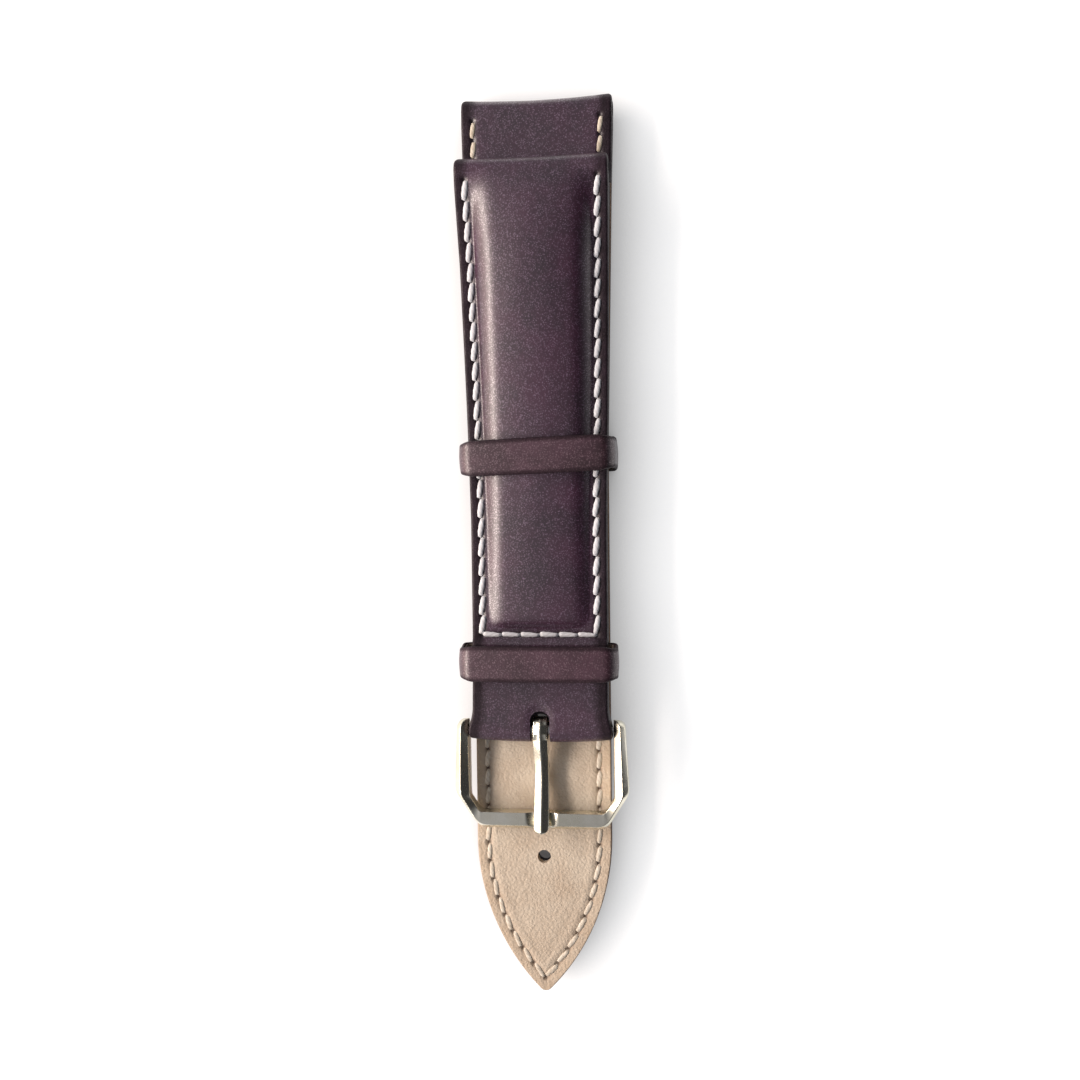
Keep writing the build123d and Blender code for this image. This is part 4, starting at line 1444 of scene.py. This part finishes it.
faceStitch = {
    "seed": 3,
    "base": -0.06,
    "width": 0.8,
    "height": 0.5,
    "lift": 0.06,
    "sink": 0.4,
    "slant": 0.46,
    "crossSlant": 0.12,
    "crossSize": 0.86,
    "crossSkew": 0.6,
    "jitter": 0.03,
    "startShort": -0.05,
    "endShort": -0.05,
}
backStitch = {
    "seed": 8,
    "base": 0.04,
    "width": 0.74,
    "height": 0.36,
    "lift": -0.03,
    "sink": 0.34,
    "slant": 0.34,
    "crossSlant": 0.1,
    "crossSize": 1.0,
    "crossSkew": 1.0,
    "jitter": 0.04,
    "startShort": 0.02,
    "endShort": 0.02,
}


def makeThread(name, half, turn, body, material, replaced, look, surface, side):
    points, faces, marks = threadMesh(half, look, surface, side)
    thing = meshObject(name, turn(points), faces, body, material, marks, sharp=180)
    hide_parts(replaced)


def faceSurface(x, s):
    return rimHeight(s) + faceStitch["base"]


def backSurface(x, s):
    return np.full(x.shape, backStitch["base"])


for name, half, turn, body in (
    ("short", shortHalf, faceUp, "short_strap"),
    ("long", longHalf, faceDown, "long_strap"),
):
    makeThread(
        name + "FaceThread", half, turn, body, faceThread, name + "_thread_face",
        faceStitch, faceSurface, 1,
    )
    makeThread(
        name + "BackThread", half, turn, body, backThread, name + "_thread_back",
        backStitch, backSurface, -1,
    )
print("threads made")


# Keepers
freeKeeper = {
    "length": 4.7,
    "inside": 9.4,
    "y": 12.4,
    "frontCorner": 1.7,
    "backCorner": 1.7,
    "arch": 0.55,
    "body": "free_keeper",
    "nodes": ("free_keeper_cover", "free_keeper_liner"),
    "names": ("freeKeeperCover", "freeKeeperLiner"),
    "turn": 2.0,
}
fixedKeeper = {
    "length": 4.7,
    "inside": 9.6,
    "y": -14.6,
    "frontCorner": 1.7,
    "backCorner": 1.2,
    "arch": 0.35,
    "body": "short_strap",
    "nodes": ("fixed_keeper_cover", "fixed_keeper_liner"),
    "names": ("fixedKeeperCover", "fixedKeeperLiner"),
    "turn": 0.0,
}
keeperLayers = {"cover": 0.45, "liner": 0.3}
keeperShape = {
    "leastCorner": 0.3,
    "archFrom": 1.0,
    "archPower": 2.2,
    "edgeRound": 0.34,
    "edgeShare": 0.72,
    "innerShare": 0.6,
    "sidePull": 0.15,
    "pullPower": 1.3,
    "pullRise": 1.5,
    "coverSwell": 0.16,
    "linerNarrow": 0.12,
    "layerGap": 0.01,
    "waveDeep": 0.02,
    "waveLong": 6.0,
    "loopLong": 60,
    "cutWide": 0.1,
}


def loopPath(halfWide, low, high, frontCorner, backCorner):
    # a rounded rectangle in x and z with its outward normals, from the middle of the back
    path = []
    w, b, f = halfWide, backCorner, frontCorner

    def straight(a, b, normal, count):
        for t in np.linspace(0, 1, count, endpoint=False):
            path.append((a[0] + (b[0] - a[0]) * t, a[1] + (b[1] - a[1]) * t, *normal))

    def corner(cx, cz, radius, first):
        for angle in np.linspace(first, first + 90, 12, endpoint=False):
            a = radians(angle)
            path.append((cx + radius * cos(a), cz + radius * sin(a), cos(a), sin(a)))

    straight((0, low), (w - b, low), (0, -1), 16)
    corner(w - b, low + b, b, -90)
    straight((w, low + b), (w, high - f), (1, 0), 10)
    corner(w - f, high - f, f, 0)
    straight((w - f, high), (-w + f, high), (0, 1), 40)
    corner(-w + f, high - f, f, 90)
    straight((-w, high - f), (-w, low + b), (-1, 0), 10)
    corner(-w + b, low + b, b, 180)
    straight((-w + b, low), (0, low), (0, -1), 16)
    return np.array(path)


def bandMesh(keeper, low, high, outer, inner, narrow, crownOut, flatBack):
    # low and high are the inside heights; outer and inner are how far the band's faces lie outside them
    w, look = keeper["inside"], keeperShape
    whole = keeperLayers["cover"] + keeperLayers["liner"]

    def faceAt(out):
        radiusF = max(keeper["frontCorner"] - (whole - out), look["leastCorner"])
        radiusB = max(keeper["backCorner"] - (whole - out), look["leastCorner"])
        return loopPath(w + out, low - out, high + out, radiusF, radiusB)

    def arched(path):
        # the front band stands highest in the middle; the normals turn with it
        bent, power = path.copy(), look["archPower"]
        front = keeper["arch"] * smoothStep(low + look["archFrom"], high, path[:, 1])
        share = np.abs(path[:, 0]) / w
        bent[:, 1] -= front * share**power
        slope = -front * power * share ** (power - 1) / w * np.sign(path[:, 0])
        nx, nz = path[:, 2] - slope * path[:, 3], path[:, 3]
        size = np.hypot(nx, nz)
        bent[:, 2], bent[:, 3] = nx / size, nz / size
        return bent

    outside, inside = arched(faceAt(outer)), arched(faceAt(inner))
    reach = keeper["length"] / 2 - narrow
    edge = np.array([0, 0.02, 0.06, 0.12, 0.2, 0.3, 0.42, 0.6, 0.9, 1.3, 1.8])
    v = np.concatenate([-reach + edge, [0.0], (reach - edge)[::-1]])
    away = reach - np.abs(v)
    soft = min(look["edgeRound"], (outer - inner) * look["edgeShare"])
    insideEdge = np.clip(soft - away, 0, soft)
    drop = soft - np.sqrt(soft**2 - insideEdge**2)
    swell = crownOut * (1 - (v / reach) ** 2)
    count = len(outside)
    rise = smoothStep(low, low + look["pullRise"], outside[:, 1])
    pull = 1 - look["sidePull"] * np.abs(outside[:, 2]) ** look["pullPower"] * rise
    across = v[None, :] * pull[:, None]
    aroundLoop = np.linspace(0, look["loopLong"], count)[:, None]
    wave = look["waveDeep"] * waves(31 + len(keeper["body"]), v[None, :], aroundLoop, look["waveLong"])
    bandFlat = np.ones(count)
    if flatBack:
        bandFlat = smoothStep(low - 0.1, low + 1.2, outside[:, 1])
    out = (swell[None, :] + wave) * bandFlat[:, None] - drop[None, :]
    px = outside[:, 0][:, None] + outside[:, 2][:, None] * out
    pz = outside[:, 1][:, None] + outside[:, 3][:, None] * out
    face = np.stack([px, across, pz], axis=2)
    dropIn = drop * look["innerShare"]
    qx = inside[:, 0][:, None] + inside[:, 2][:, None] * dropIn[None, :]
    qz = inside[:, 1][:, None] + inside[:, 3][:, None] * dropIn[None, :]
    back = np.stack([qx, across, qz], axis=2)[:, ::-1]
    rings = np.concatenate([face, back], axis=1)
    turn = radians(keeper["turn"])
    x, y = rings[:, :, 0].copy(), rings[:, :, 1].copy()
    rings[:, :, 0] = x * cos(turn) - y * sin(turn)
    rings[:, :, 1] = x * sin(turn) + y * cos(turn) + keeper["y"]
    bothFaces = np.tile(np.concatenate([away, away[::-1]]), (count, 1))
    marks = {"edgeAway": bothFaces, "cutEdge": smoothStep(look["cutWide"], 0.0, bothFaces)}
    return rings.reshape(-1, 3), ringFaces(count, rings.shape[1], closedAlong=True), marks


for keeper in (freeKeeper, fixedKeeper):
    lowCorner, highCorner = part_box(keeper["nodes"][1])
    liner, cover = keeperLayers["liner"], keeperLayers["cover"]
    low, high = lowCorner[2] / mm + liner, highCorner[2] / mm - liner
    gap, isFixed = keeperShape["layerGap"], keeper is fixedKeeper
    for k, slotName, material, sizes in (
        (0, "face_leather", keeperLeather, (liner + cover, liner + gap, 0.0, keeperShape["coverSwell"])),
        (1, "lining_leather", dyedShadedLining, (liner - gap, 0.0, keeperShape["linerNarrow"], 0.0)),
    ):
        points, faces, marks = bandMesh(keeper, low, high, *sizes, isFixed)
        made = meshObject(keeper["names"][k], points, faces, keeper["body"], material, marks)
        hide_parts(keeper["nodes"][k])
print("keepers made")


# Polished buckle: sections lofted along the frame and along the tongue
buckleShape = {
    "windowHalf": 9.65,
    "outerHalf": 11.65,
    "flare": 0.5,
    "reach": 13.4,
    "barWide": 2.3,
    "bevelLong": 5.0,
    "bevelWide": 3.1,
    "bevelRound": 2.4,
    "windowLong": 2.0,
    "windowWide": 1.3,
    "windowRound": 0.9,
    "armRadius": 1.4,
    "under": 1.6,
    "endRound": 1.1,
    "ridgeArm": 0.4,
    "ridgeBar": 0.24,
    "outerDrop": 0.62,
    "innerDrop": 0.72,
    "notchHalf": 2.1,
    "notchDepth": 0.5,
    "tipHole": 0.45,
    "tipHoleEnd": 10.6,
    "edgeRounds": (0.3, 0.16, 0.14, 0.2, 0.3),
    "barInnerDrop": 0.1,
}
tongueShape = {
    "heel": 1.5,
    "half": 1.02,
    "thick": 1.1,
    "side": 0.62,
    "dip": -0.35,
    "dipAt": 6.3,
    "end": 13.75,
    "eyeRadius": 1.75,
    "eyeBore": 0.81,
    "eyeHalf": 0.95,
    "eyeRounds": (0.08, 0.22, 0.22, 0.08),
    "eyeThinner": 0.3,
    "eyeTurns": (33.0, 350.0),
    "heelRound": 0.9,
    "endRound": 1.0,
    "edgeRounds": (0.15, 0.14, 0.16, 0.14, 0.15),
    "ridgeAside": 0.03,
    "waist": 0.06,
    "waistWide": 2.2,
    "restLift": 0.12,
    "restGap": 0.05,
}


def roundedLine(points, radii):
    # a bent line with its corners rounded, as (points, where each corner's middle falls along it)
    out, corners = [np.array(points[0], float)], []
    for before, here, after, radius in zip(points, points[1:], points[2:], radii):
        here = np.array(here, float)
        a, b = np.array(before, float) - here, np.array(after, float) - here
        a, b = a / np.hypot(*a), b / np.hypot(*b)
        turn = np.arccos(np.clip(np.dot(a, b), -1, 1))
        cut = radius / np.tan(turn / 2)
        first, last = here + a * cut, here + b * cut
        centre = here + (a + b) / np.hypot(*(a + b)) * radius / sin(turn / 2)
        spread = [first + (last - first) * t for t in np.linspace(0, 1, 13)]
        arcPoints = [centre + (p - centre) / np.hypot(*(p - centre)) * radius for p in spread]
        out += arcPoints
        corners.append(len(out) - 7)
    out.append(np.array(points[-1], float))
    out = np.array(out)
    run = runAlong(out)
    return out, run, [0] + [run[k] for k in corners] + [run[-1]]


def alongLine(line, part, share):
    # the point at a share of one part of a rounded line
    points, run, corners = line
    at = corners[part] + (corners[part + 1] - corners[part]) * share
    return np.column_stack([np.interp(at, run, points[:, 0]), np.interp(at, run, points[:, 1])])


def softLoops(loops, radii, cornerSteps=4):
    # rounds the corners of every section by the given cut-backs
    parts = []
    for k, radius in enumerate(radii):
        here = loops[:, k]
        before, after = loops[:, k - 1] - here, loops[:, (k + 1) % loops.shape[1]] - here
        lengthB, lengthA = np.linalg.norm(before, axis=1), np.linalg.norm(after, axis=1)
        cutB = np.minimum(radius / np.maximum(lengthB, 1e-6), 0.46)[:, None]
        cutA = np.minimum(radius / np.maximum(lengthA, 1e-6), 0.46)[:, None]
        first, last = here + before * cutB, here + after * cutA
        for t in np.linspace(0, 1, cornerSteps + 1):
            parts.append(first * (1 - t) ** 2 + here * 2 * t * (1 - t) + last * t**2)
    return np.stack(parts, axis=1)


def frameTop(d):
    # the frame's arched top, at a distance from the bar
    beyond = np.clip(d, 0, None)
    return buckleShape["armRadius"] - 0.00746 * beyond - 0.005569 * beyond**2


barTop = frameTop(buckleShape["reach"] - buckleShape["barWide"] / 2)


def frameMesh(shape):
    radius = shape["armRadius"]
    out, inn = shape["outerHalf"], shape["windowHalf"]
    sill = shape["reach"] - shape["barWide"]
    outer = roundedLine(
        [(out - shape["flare"], -radius), (out, shape["reach"] - shape["bevelLong"]),
         (out - shape["bevelWide"], shape["reach"]), (0, shape["reach"])],
        [shape["bevelRound"]] * 2,
    )
    inner = roundedLine(
        [(inn, -radius), (inn, sill - shape["windowLong"]), (inn - shape["windowWide"], sill), (0, sill)],
        [shape["windowRound"]] * 2,
    )
    # shares of the arm: close together round its end, then even
    armLength = shape["reach"] - shape["bevelLong"] + radius
    end = radius * (1 - np.cos(np.linspace(0.02, pi / 2, 14))) / armLength
    armShares = np.concatenate([end, np.linspace(end[-1], 1, 14)[1:]])
    cornerShares = np.linspace(0, 1, 15)[1:]
    barShares = np.linspace(0, 1, 70)[1:]
    rows = []
    for part, shares in ((0, armShares), (1, cornerShares), (2, barShares)):
        o, i = alongLine(outer, part, shares), alongLine(inner, part, shares)
        towards = np.clip(shares if part == 1 else np.full(len(shares), part / 2), 0, 1)
        rows.append(np.column_stack([o, i, towards, np.full(len(shares), part)]))
    rows = np.vstack(rows)
    ox, od, ix, d = rows[:, 0], rows[:, 1], rows[:, 2], rows[:, 3]
    towards, part = rows[:, 4], rows[:, 5]
    fromEnd = np.clip(shape["endRound"] - (od + radius), 0, shape["endRound"])
    ox = ox - (shape["endRound"] - np.sqrt(shape["endRound"] ** 2 - fromEnd**2)) * (part == 0)
    ridge = shape["ridgeArm"] + (shape["ridgeBar"] - shape["ridgeArm"]) * towards
    innerDrop = shape["innerDrop"] + (shape["barInnerDrop"] - shape["innerDrop"]) * towards**1.5

    def section(share, drop, isTop):
        x, y = ox + (ix - ox) * share, od + (d - od) * share
        cap = np.sqrt(np.clip(radius**2 - np.clip(-y, 0, radius) ** 2, 0, None)) / radius
        if isTop:
            return np.column_stack([x, y, (frameTop(y) - drop) * cap])
        under = -radius - (shape["under"] - radius) * np.clip(y / (shape["reach"] / 2), 0, 1)
        return np.column_stack([x, y, under * cap])

    zero = np.zeros(len(rows))
    corners = np.stack([
        section(zero, 0, False),
        section(zero, shape["outerDrop"], True),
        section(ridge, 0, True),
        section(zero + 1, innerDrop, True),
        section(zero + 1, 0, False),
    ], axis=1)
    hollow = (shape["notchHalf"] ** 2 + shape["notchDepth"] ** 2) / (2 * shape["notchDepth"])
    loops = softLoops(corners, shape["edgeRounds"])
    x = loops[:, :, 0]
    groove = barTop - shape["notchDepth"] + hollow - np.sqrt(np.clip(hollow**2 - x**2, 0, None))
    inBar = (part == 2)[:, None] & (np.abs(x) < shape["notchHalf"] + 0.4)
    loops[:, :, 2] = np.where(inBar, np.minimum(loops[:, :, 2], groove), loops[:, :, 2])
    other = loops[:-1][::-1].copy()  # the left half mirrored, the middle station once
    other[:, :, 0] *= -1
    whole = np.concatenate([loops, other], axis=0)
    return whole.reshape(-1, 3), ringFaces(len(whole), whole.shape[1])


def tongueMesh(shape):
    # the shank: a two-faceted bar on a bent line, rounded at both ends
    heel, end, thickHere = shape["heel"], shape["end"], shape["thick"]
    top = (shape["eyeRadius"] + shape["eyeBore"]) / 2
    rest = barTop - buckleShape["notchDepth"] + shape["restLift"] + shape["restGap"] + thickHere / 2
    knots = np.array([
        (-heel, top - 0.68), (-0.95, top - 0.26), (-0.35, top), (1.6, top - 0.28), (4.2, 0.1),
        (shape["dipAt"], shape["dip"]), (8.6, -0.02), (11.1, rest), (12.4, rest + 0.28), (end, rest + 0.5),
    ])
    heelRound, endRound = shape["heelRound"], shape["endRound"]
    d = np.unique(np.concatenate([
        -heel + heelRound * (1 - np.cos(np.linspace(0.05, pi / 2, 9))),
        np.linspace(-heel + heelRound, end - endRound, 60),
        end - endRound * (1 - np.sin(np.linspace(0, pi / 2 - 0.05, 11))),
    ]))
    knotRun = knots[:, 0]
    # a smooth curve through the knots
    slope = np.gradient(knots[:, 1], knotRun)
    k = np.clip(np.searchsorted(knotRun, d) - 1, 0, len(knots) - 2)
    h = knotRun[k + 1] - knotRun[k]
    t = (d - knotRun[k]) / h
    z = ((1 + 2 * t) * (1 - t) ** 2 * knots[k, 1] + t * (1 - t) ** 2 * h * slope[k]
         + t**2 * (3 - 2 * t) * knots[k + 1, 1] + t**2 * (t - 1) * h * slope[k + 1])
    lean = np.gradient(z, d)
    normalD, normalZ = -lean / np.hypot(lean, 1), 1 / np.hypot(lean, 1)
    fromHeel = np.clip(heelRound - (d + heel), 0, heelRound) / heelRound
    fromTip = np.clip(endRound - (end - d), 0, endRound) / endRound
    half = shape["half"] * (1 - shape["waist"] * np.exp(-(((d - shape["dipAt"]) / shape["waistWide"]) ** 2)))
    half = half * np.sqrt(np.clip(1 - 0.97 * fromHeel**2.6, 0.001, 1))
    half = half * np.sqrt(np.clip(1 - fromTip**2.4, 0.001, 1))
    thick = thickHere * (1 - 0.55 * fromTip**2.2) * (1 - 0.25 * fromHeel**2)
    low, side, high = -thick / 2, -thick / 2 + shape["side"] * thick / thickHere, thick / 2
    ridge = shape["ridgeAside"] * half
    corners = np.stack([
        np.column_stack([x, d + normalD * up, z + normalZ * up])
        for x, up in ((-half, low), (-half, side), (ridge, high), (half, side), (half, low))
    ], axis=1)
    loops = softLoops(corners, shape["edgeRounds"])
    return loops.reshape(-1, 3), ringFaces(len(loops), loops.shape[1])


def eyeMesh(shape):
    # the eye: rolled from the shank's root round the bar, its end left open
    angle = np.radians(np.linspace(*shape["eyeTurns"], 56))
    middle = (shape["eyeRadius"] + shape["eyeBore"]) / 2
    thickness = shape["eyeRadius"] - shape["eyeBore"]
    taper = 1 - shape["eyeThinner"] * np.clip(1 - (angle - angle[0]) / 0.35, 0, 1) ** 2
    corners = []
    for side, out in ((-1, -1), (-1, 1), (1, 1), (1, -1)):
        x = np.full(len(angle), side * shape["eyeHalf"]) * (0.9 + 0.1 * taper)
        r = middle + out * thickness / 2 * taper
        corners.append(np.column_stack([x, -r * np.sin(angle), r * np.cos(angle)]))
    loops = softLoops(np.stack(corners, axis=1), shape["eyeRounds"])
    return loops.reshape(-1, 3), ringFaces(len(loops), loops.shape[1])


def atBar(points):
    out = points.copy()
    out[:, 1] = barAxis[1] - points[:, 1]
    out[:, 2] = barAxis[2] + points[:, 2]
    return out


def flattenFacets(thing):
    change = thing.modifiers.new("flatFacets", "WEIGHTED_NORMAL")
    change.keep_sharp, change.weight = True, 80


def steelPiece(name, body, points, faces, sharp=60):
    return meshObject(
        name, atBar(points), faces, body, polishedSteel, sharp=sharp
    )


buckleFrame = steelPiece("buckleFrame", "buckle", *frameMesh(buckleShape))
pin = [
    (x, buckleShape["tipHole"] * cos(a), buckleShape["tipHole"] * sin(a))
    for x in (-buckleShape["tipHoleEnd"], buckleShape["tipHoleEnd"])
    for a in np.linspace(0, 2 * pi, 25)[:-1]
]
cutWith(buckleFrame, steelPiece("tipHoles", "buckle", np.array(pin), ringFaces(2, 24), 38), sharp=60)
flattenFacets(buckleFrame)
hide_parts("buckle_frame")

tongue = steelPiece("buckleTongue", "tongue", *tongueMesh(tongueShape))
cutWith(tongue, steelPiece("tongueEye", "tongue", *eyeMesh(tongueShape)), "UNION", 60)
flattenFacets(tongue)
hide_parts("buckle_tongue")

barSpring = {
    "length": 15.36,
    "turns": 9,
    "coil": 0.42,
    "wire": 0.08,
    "stepsPerTurn": 40,
    "wireSides": 10,
    "press": 0.9,
}
barEdge = {"round": 0.05, "angle": 40, "sharp": 35}


def coilHalf(shape, side):
    # half the spring, from the bar's middle towards one tip
    halfLength, turns = shape["length"] / 2, shape["turns"] / 2
    turn = np.linspace(0, 2 * pi * turns, int(turns * shape["stepsPerTurn"]) + 1) * side
    out = np.column_stack([np.zeros_like(turn), np.cos(turn), np.sin(turn)])
    middle = shape["coil"] * out + np.outer(halfLength * turn / (2 * pi * turns), (1, 0, 0))
    along = np.gradient(middle, axis=0)
    along = along / np.linalg.norm(along, axis=1)[:, None]
    across = np.cross(along, out)
    angle = np.linspace(0, 2 * pi, shape["wireSides"], endpoint=False)
    rings = middle[:, None] + shape["wire"] * (
        np.cos(angle)[None, :, None] * out[:, None] + np.sin(angle)[None, :, None] * across[:, None]
    )
    return rings.reshape(-1, 3) + np.array(barAxis), ringFaces(len(turn), shape["wireSides"])


for side, sideName in ((-1, "left"), (1, "right")):  # each half runs from the bar's middle to its own tip
    points, faces = coilHalf(barSpring, side)
    halfSpring = meshObject(
        "barSpring_" + sideName, points, faces, "buckle", turnedSteel, sharp=80
    )
    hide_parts("bar_spring")
    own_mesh(halfSpring)

for name in ("bar_barrel", "bar_tip_left", "bar_tip_right"):
    piece = nodes[name]
    piece.data.materials.clear()
    piece.data.materials.append(turnedSteel)
    soften = piece.modifiers.new("softEdges", "BEVEL")
    soften.width, soften.segments = barEdge["round"] * mm, 3
    soften.limit_method, soften.angle_limit = "ANGLE", radians(barEdge["angle"])
    piece.data.shade_smooth()
    piece.data.set_sharp_from_angle(angle=radians(barEdge["sharp"]))
print("buckle made")


# Floor, light, camera; places here are in metres
floorLook = {
    "half": 1.2,
    "drop": 0.00002,
    "colour": (0.45, 0.45, 0.45, 1),
    "rough": 0.9,
    "shine": 0.1,
    "glow": 0.88,
    "shadeReach": 0.012,
    "shadePower": 1.2,
}
# each "Across" is a range of the direction's X, from -1 on the left to 1 on the right
sky = {
    "left": 0.86,
    "right": 0.04,
    "across": (-0.9, 0.5),
    "lowGlow": 0.35,
    "lowAcross": (0.87, 0.96),
    "windowGlow": 1.2,
    "windowAcross": (-0.93, -0.66),
    "warm": (1.0, 0.8, 0.68, 1),
    "cool": (0.93, 0.93, 1.0, 1),
    "warmAcross": (-0.9, -0.45),
}
keyLamp = {
    "place": (-0.5, 0, 0.36),
    "target": (0, 0, 0),
    "wide": 0.1,
    "long": 1.1,
    "level": 1.7,
    "colour": (1.0, 0.88, 0.8),
}
cameraLook = {
    "lens": 37.55,
    "sensor": 36.0,
    "clip": (0.005, 10.0),
    "turn": (-0.043898, 0.122173, -0.0065847),
    "place": (0.0182491, 0.0078328, 0.1537385),
}


def makeFloor():
    half, low = floorLook["half"], -floorLook["drop"]
    corners = [(-half, -half, low), (half, -half, low), (half, half, low), (-half, half, low)]
    mesh = bpy.data.meshes.new("floor")
    mesh.from_pydata(corners, [], [(0, 1, 2, 3)])
    material = bpy.data.materials.new("paleFloor")
    material.use_nodes = True
    tree = material.node_tree
    shader = tree.nodes["Principled BSDF"]
    shader.inputs["Base Color"].default_value = floorLook["colour"]
    shader.inputs["Roughness"].default_value = floorLook["rough"]
    shader.inputs["Specular IOR Level"].default_value = floorLook["shine"]
    shader.inputs["Emission Strength"].default_value = 1
    path = tree.nodes.new("ShaderNodeLightPath")
    seen = mathNode(tree, "ADD", path.outputs["Is Camera Ray"], path.outputs["Is Glossy Ray"])
    seen = mathNode(tree, "ADD", seen, path.outputs["Is Transmission Ray"], clamp=True)
    openSky = addNode(tree, "ShaderNodeAmbientOcclusion", Distance=floorLook["shadeReach"])
    glow = mathNode(tree, "MULTIPLY", seen, floorLook["glow"])
    bare = mathNode(tree, "POWER", openSky.outputs["AO"], floorLook["shadePower"])
    tree.links.new(mathNode(tree, "MULTIPLY", glow, bare), shader.inputs["Emission Color"])
    mesh.materials.append(material)
    addObject("floor", mesh)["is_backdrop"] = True


def areaLamp(name, place, target, wide, long, level, colour):
    # a panel whose long side runs along the strap; level is how brightly it lights a white card that faces it
    data = bpy.data.lights.new(name, "AREA")
    data.shape, data.size, data.size_y = "RECTANGLE", long, wide
    place, target = Vector(place), Vector(target)
    reach = (place - target).length
    data.energy = level * pi**2 * reach**2
    data.color = colour
    lamp = addObject(name, data)
    lamp.location = place
    lamp.rotation_mode = "QUATERNION"
    lamp.rotation_quaternion = (target - place).to_track_quat("-Z", "Y")
    lamp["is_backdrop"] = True


def makeLight():
    world = bpy.data.worlds.new("studio")
    bpy.context.scene.world = world
    world.use_nodes = True
    tree = world.node_tree
    back = tree.nodes["Background"]
    direction = tree.nodes.new("ShaderNodeTexCoord").outputs["Generated"]
    aside = addNode(tree, "ShaderNodeSeparateXYZ", Vector=direction).outputs["X"]
    level = rangeNode(tree, aside, *sky["across"], sky["left"], sky["right"])
    level = mathNode(tree, "ADD", level, rangeNode(tree, aside, *sky["lowAcross"], 0.0, sky["lowGlow"]))
    window = rangeNode(tree, aside, *sky["windowAcross"], sky["windowGlow"], 0.0)
    tree.links.new(mathNode(tree, "ADD", level, window), back.inputs["Strength"])
    turn = rangeNode(tree, aside, *sky["warmAcross"], 0.0, 1.0)
    tree.links.new(mixColours(tree, turn, sky["warm"], sky["cool"]), back.inputs["Color"])
    areaLamp("keyLeft", **keyLamp)


def makeCamera():
    data = bpy.data.cameras.new("camera")
    data.lens, data.sensor_width, data.sensor_fit = cameraLook["lens"], cameraLook["sensor"], "HORIZONTAL"
    data.clip_start, data.clip_end = cameraLook["clip"]
    camera = addObject("camera", data)
    camera.rotation_mode = "ZYX"
    camera.rotation_euler = cameraLook["turn"]
    camera.location = cameraLook["place"]
    bpy.context.scene.camera = camera


makeFloor()
makeLight()
makeCamera()
bpy.context.scene.view_settings.view_transform = "Standard"
print("studio set")

sizes = {"cadBox": cadBox, "visualBox": [list(corner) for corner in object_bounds()]}
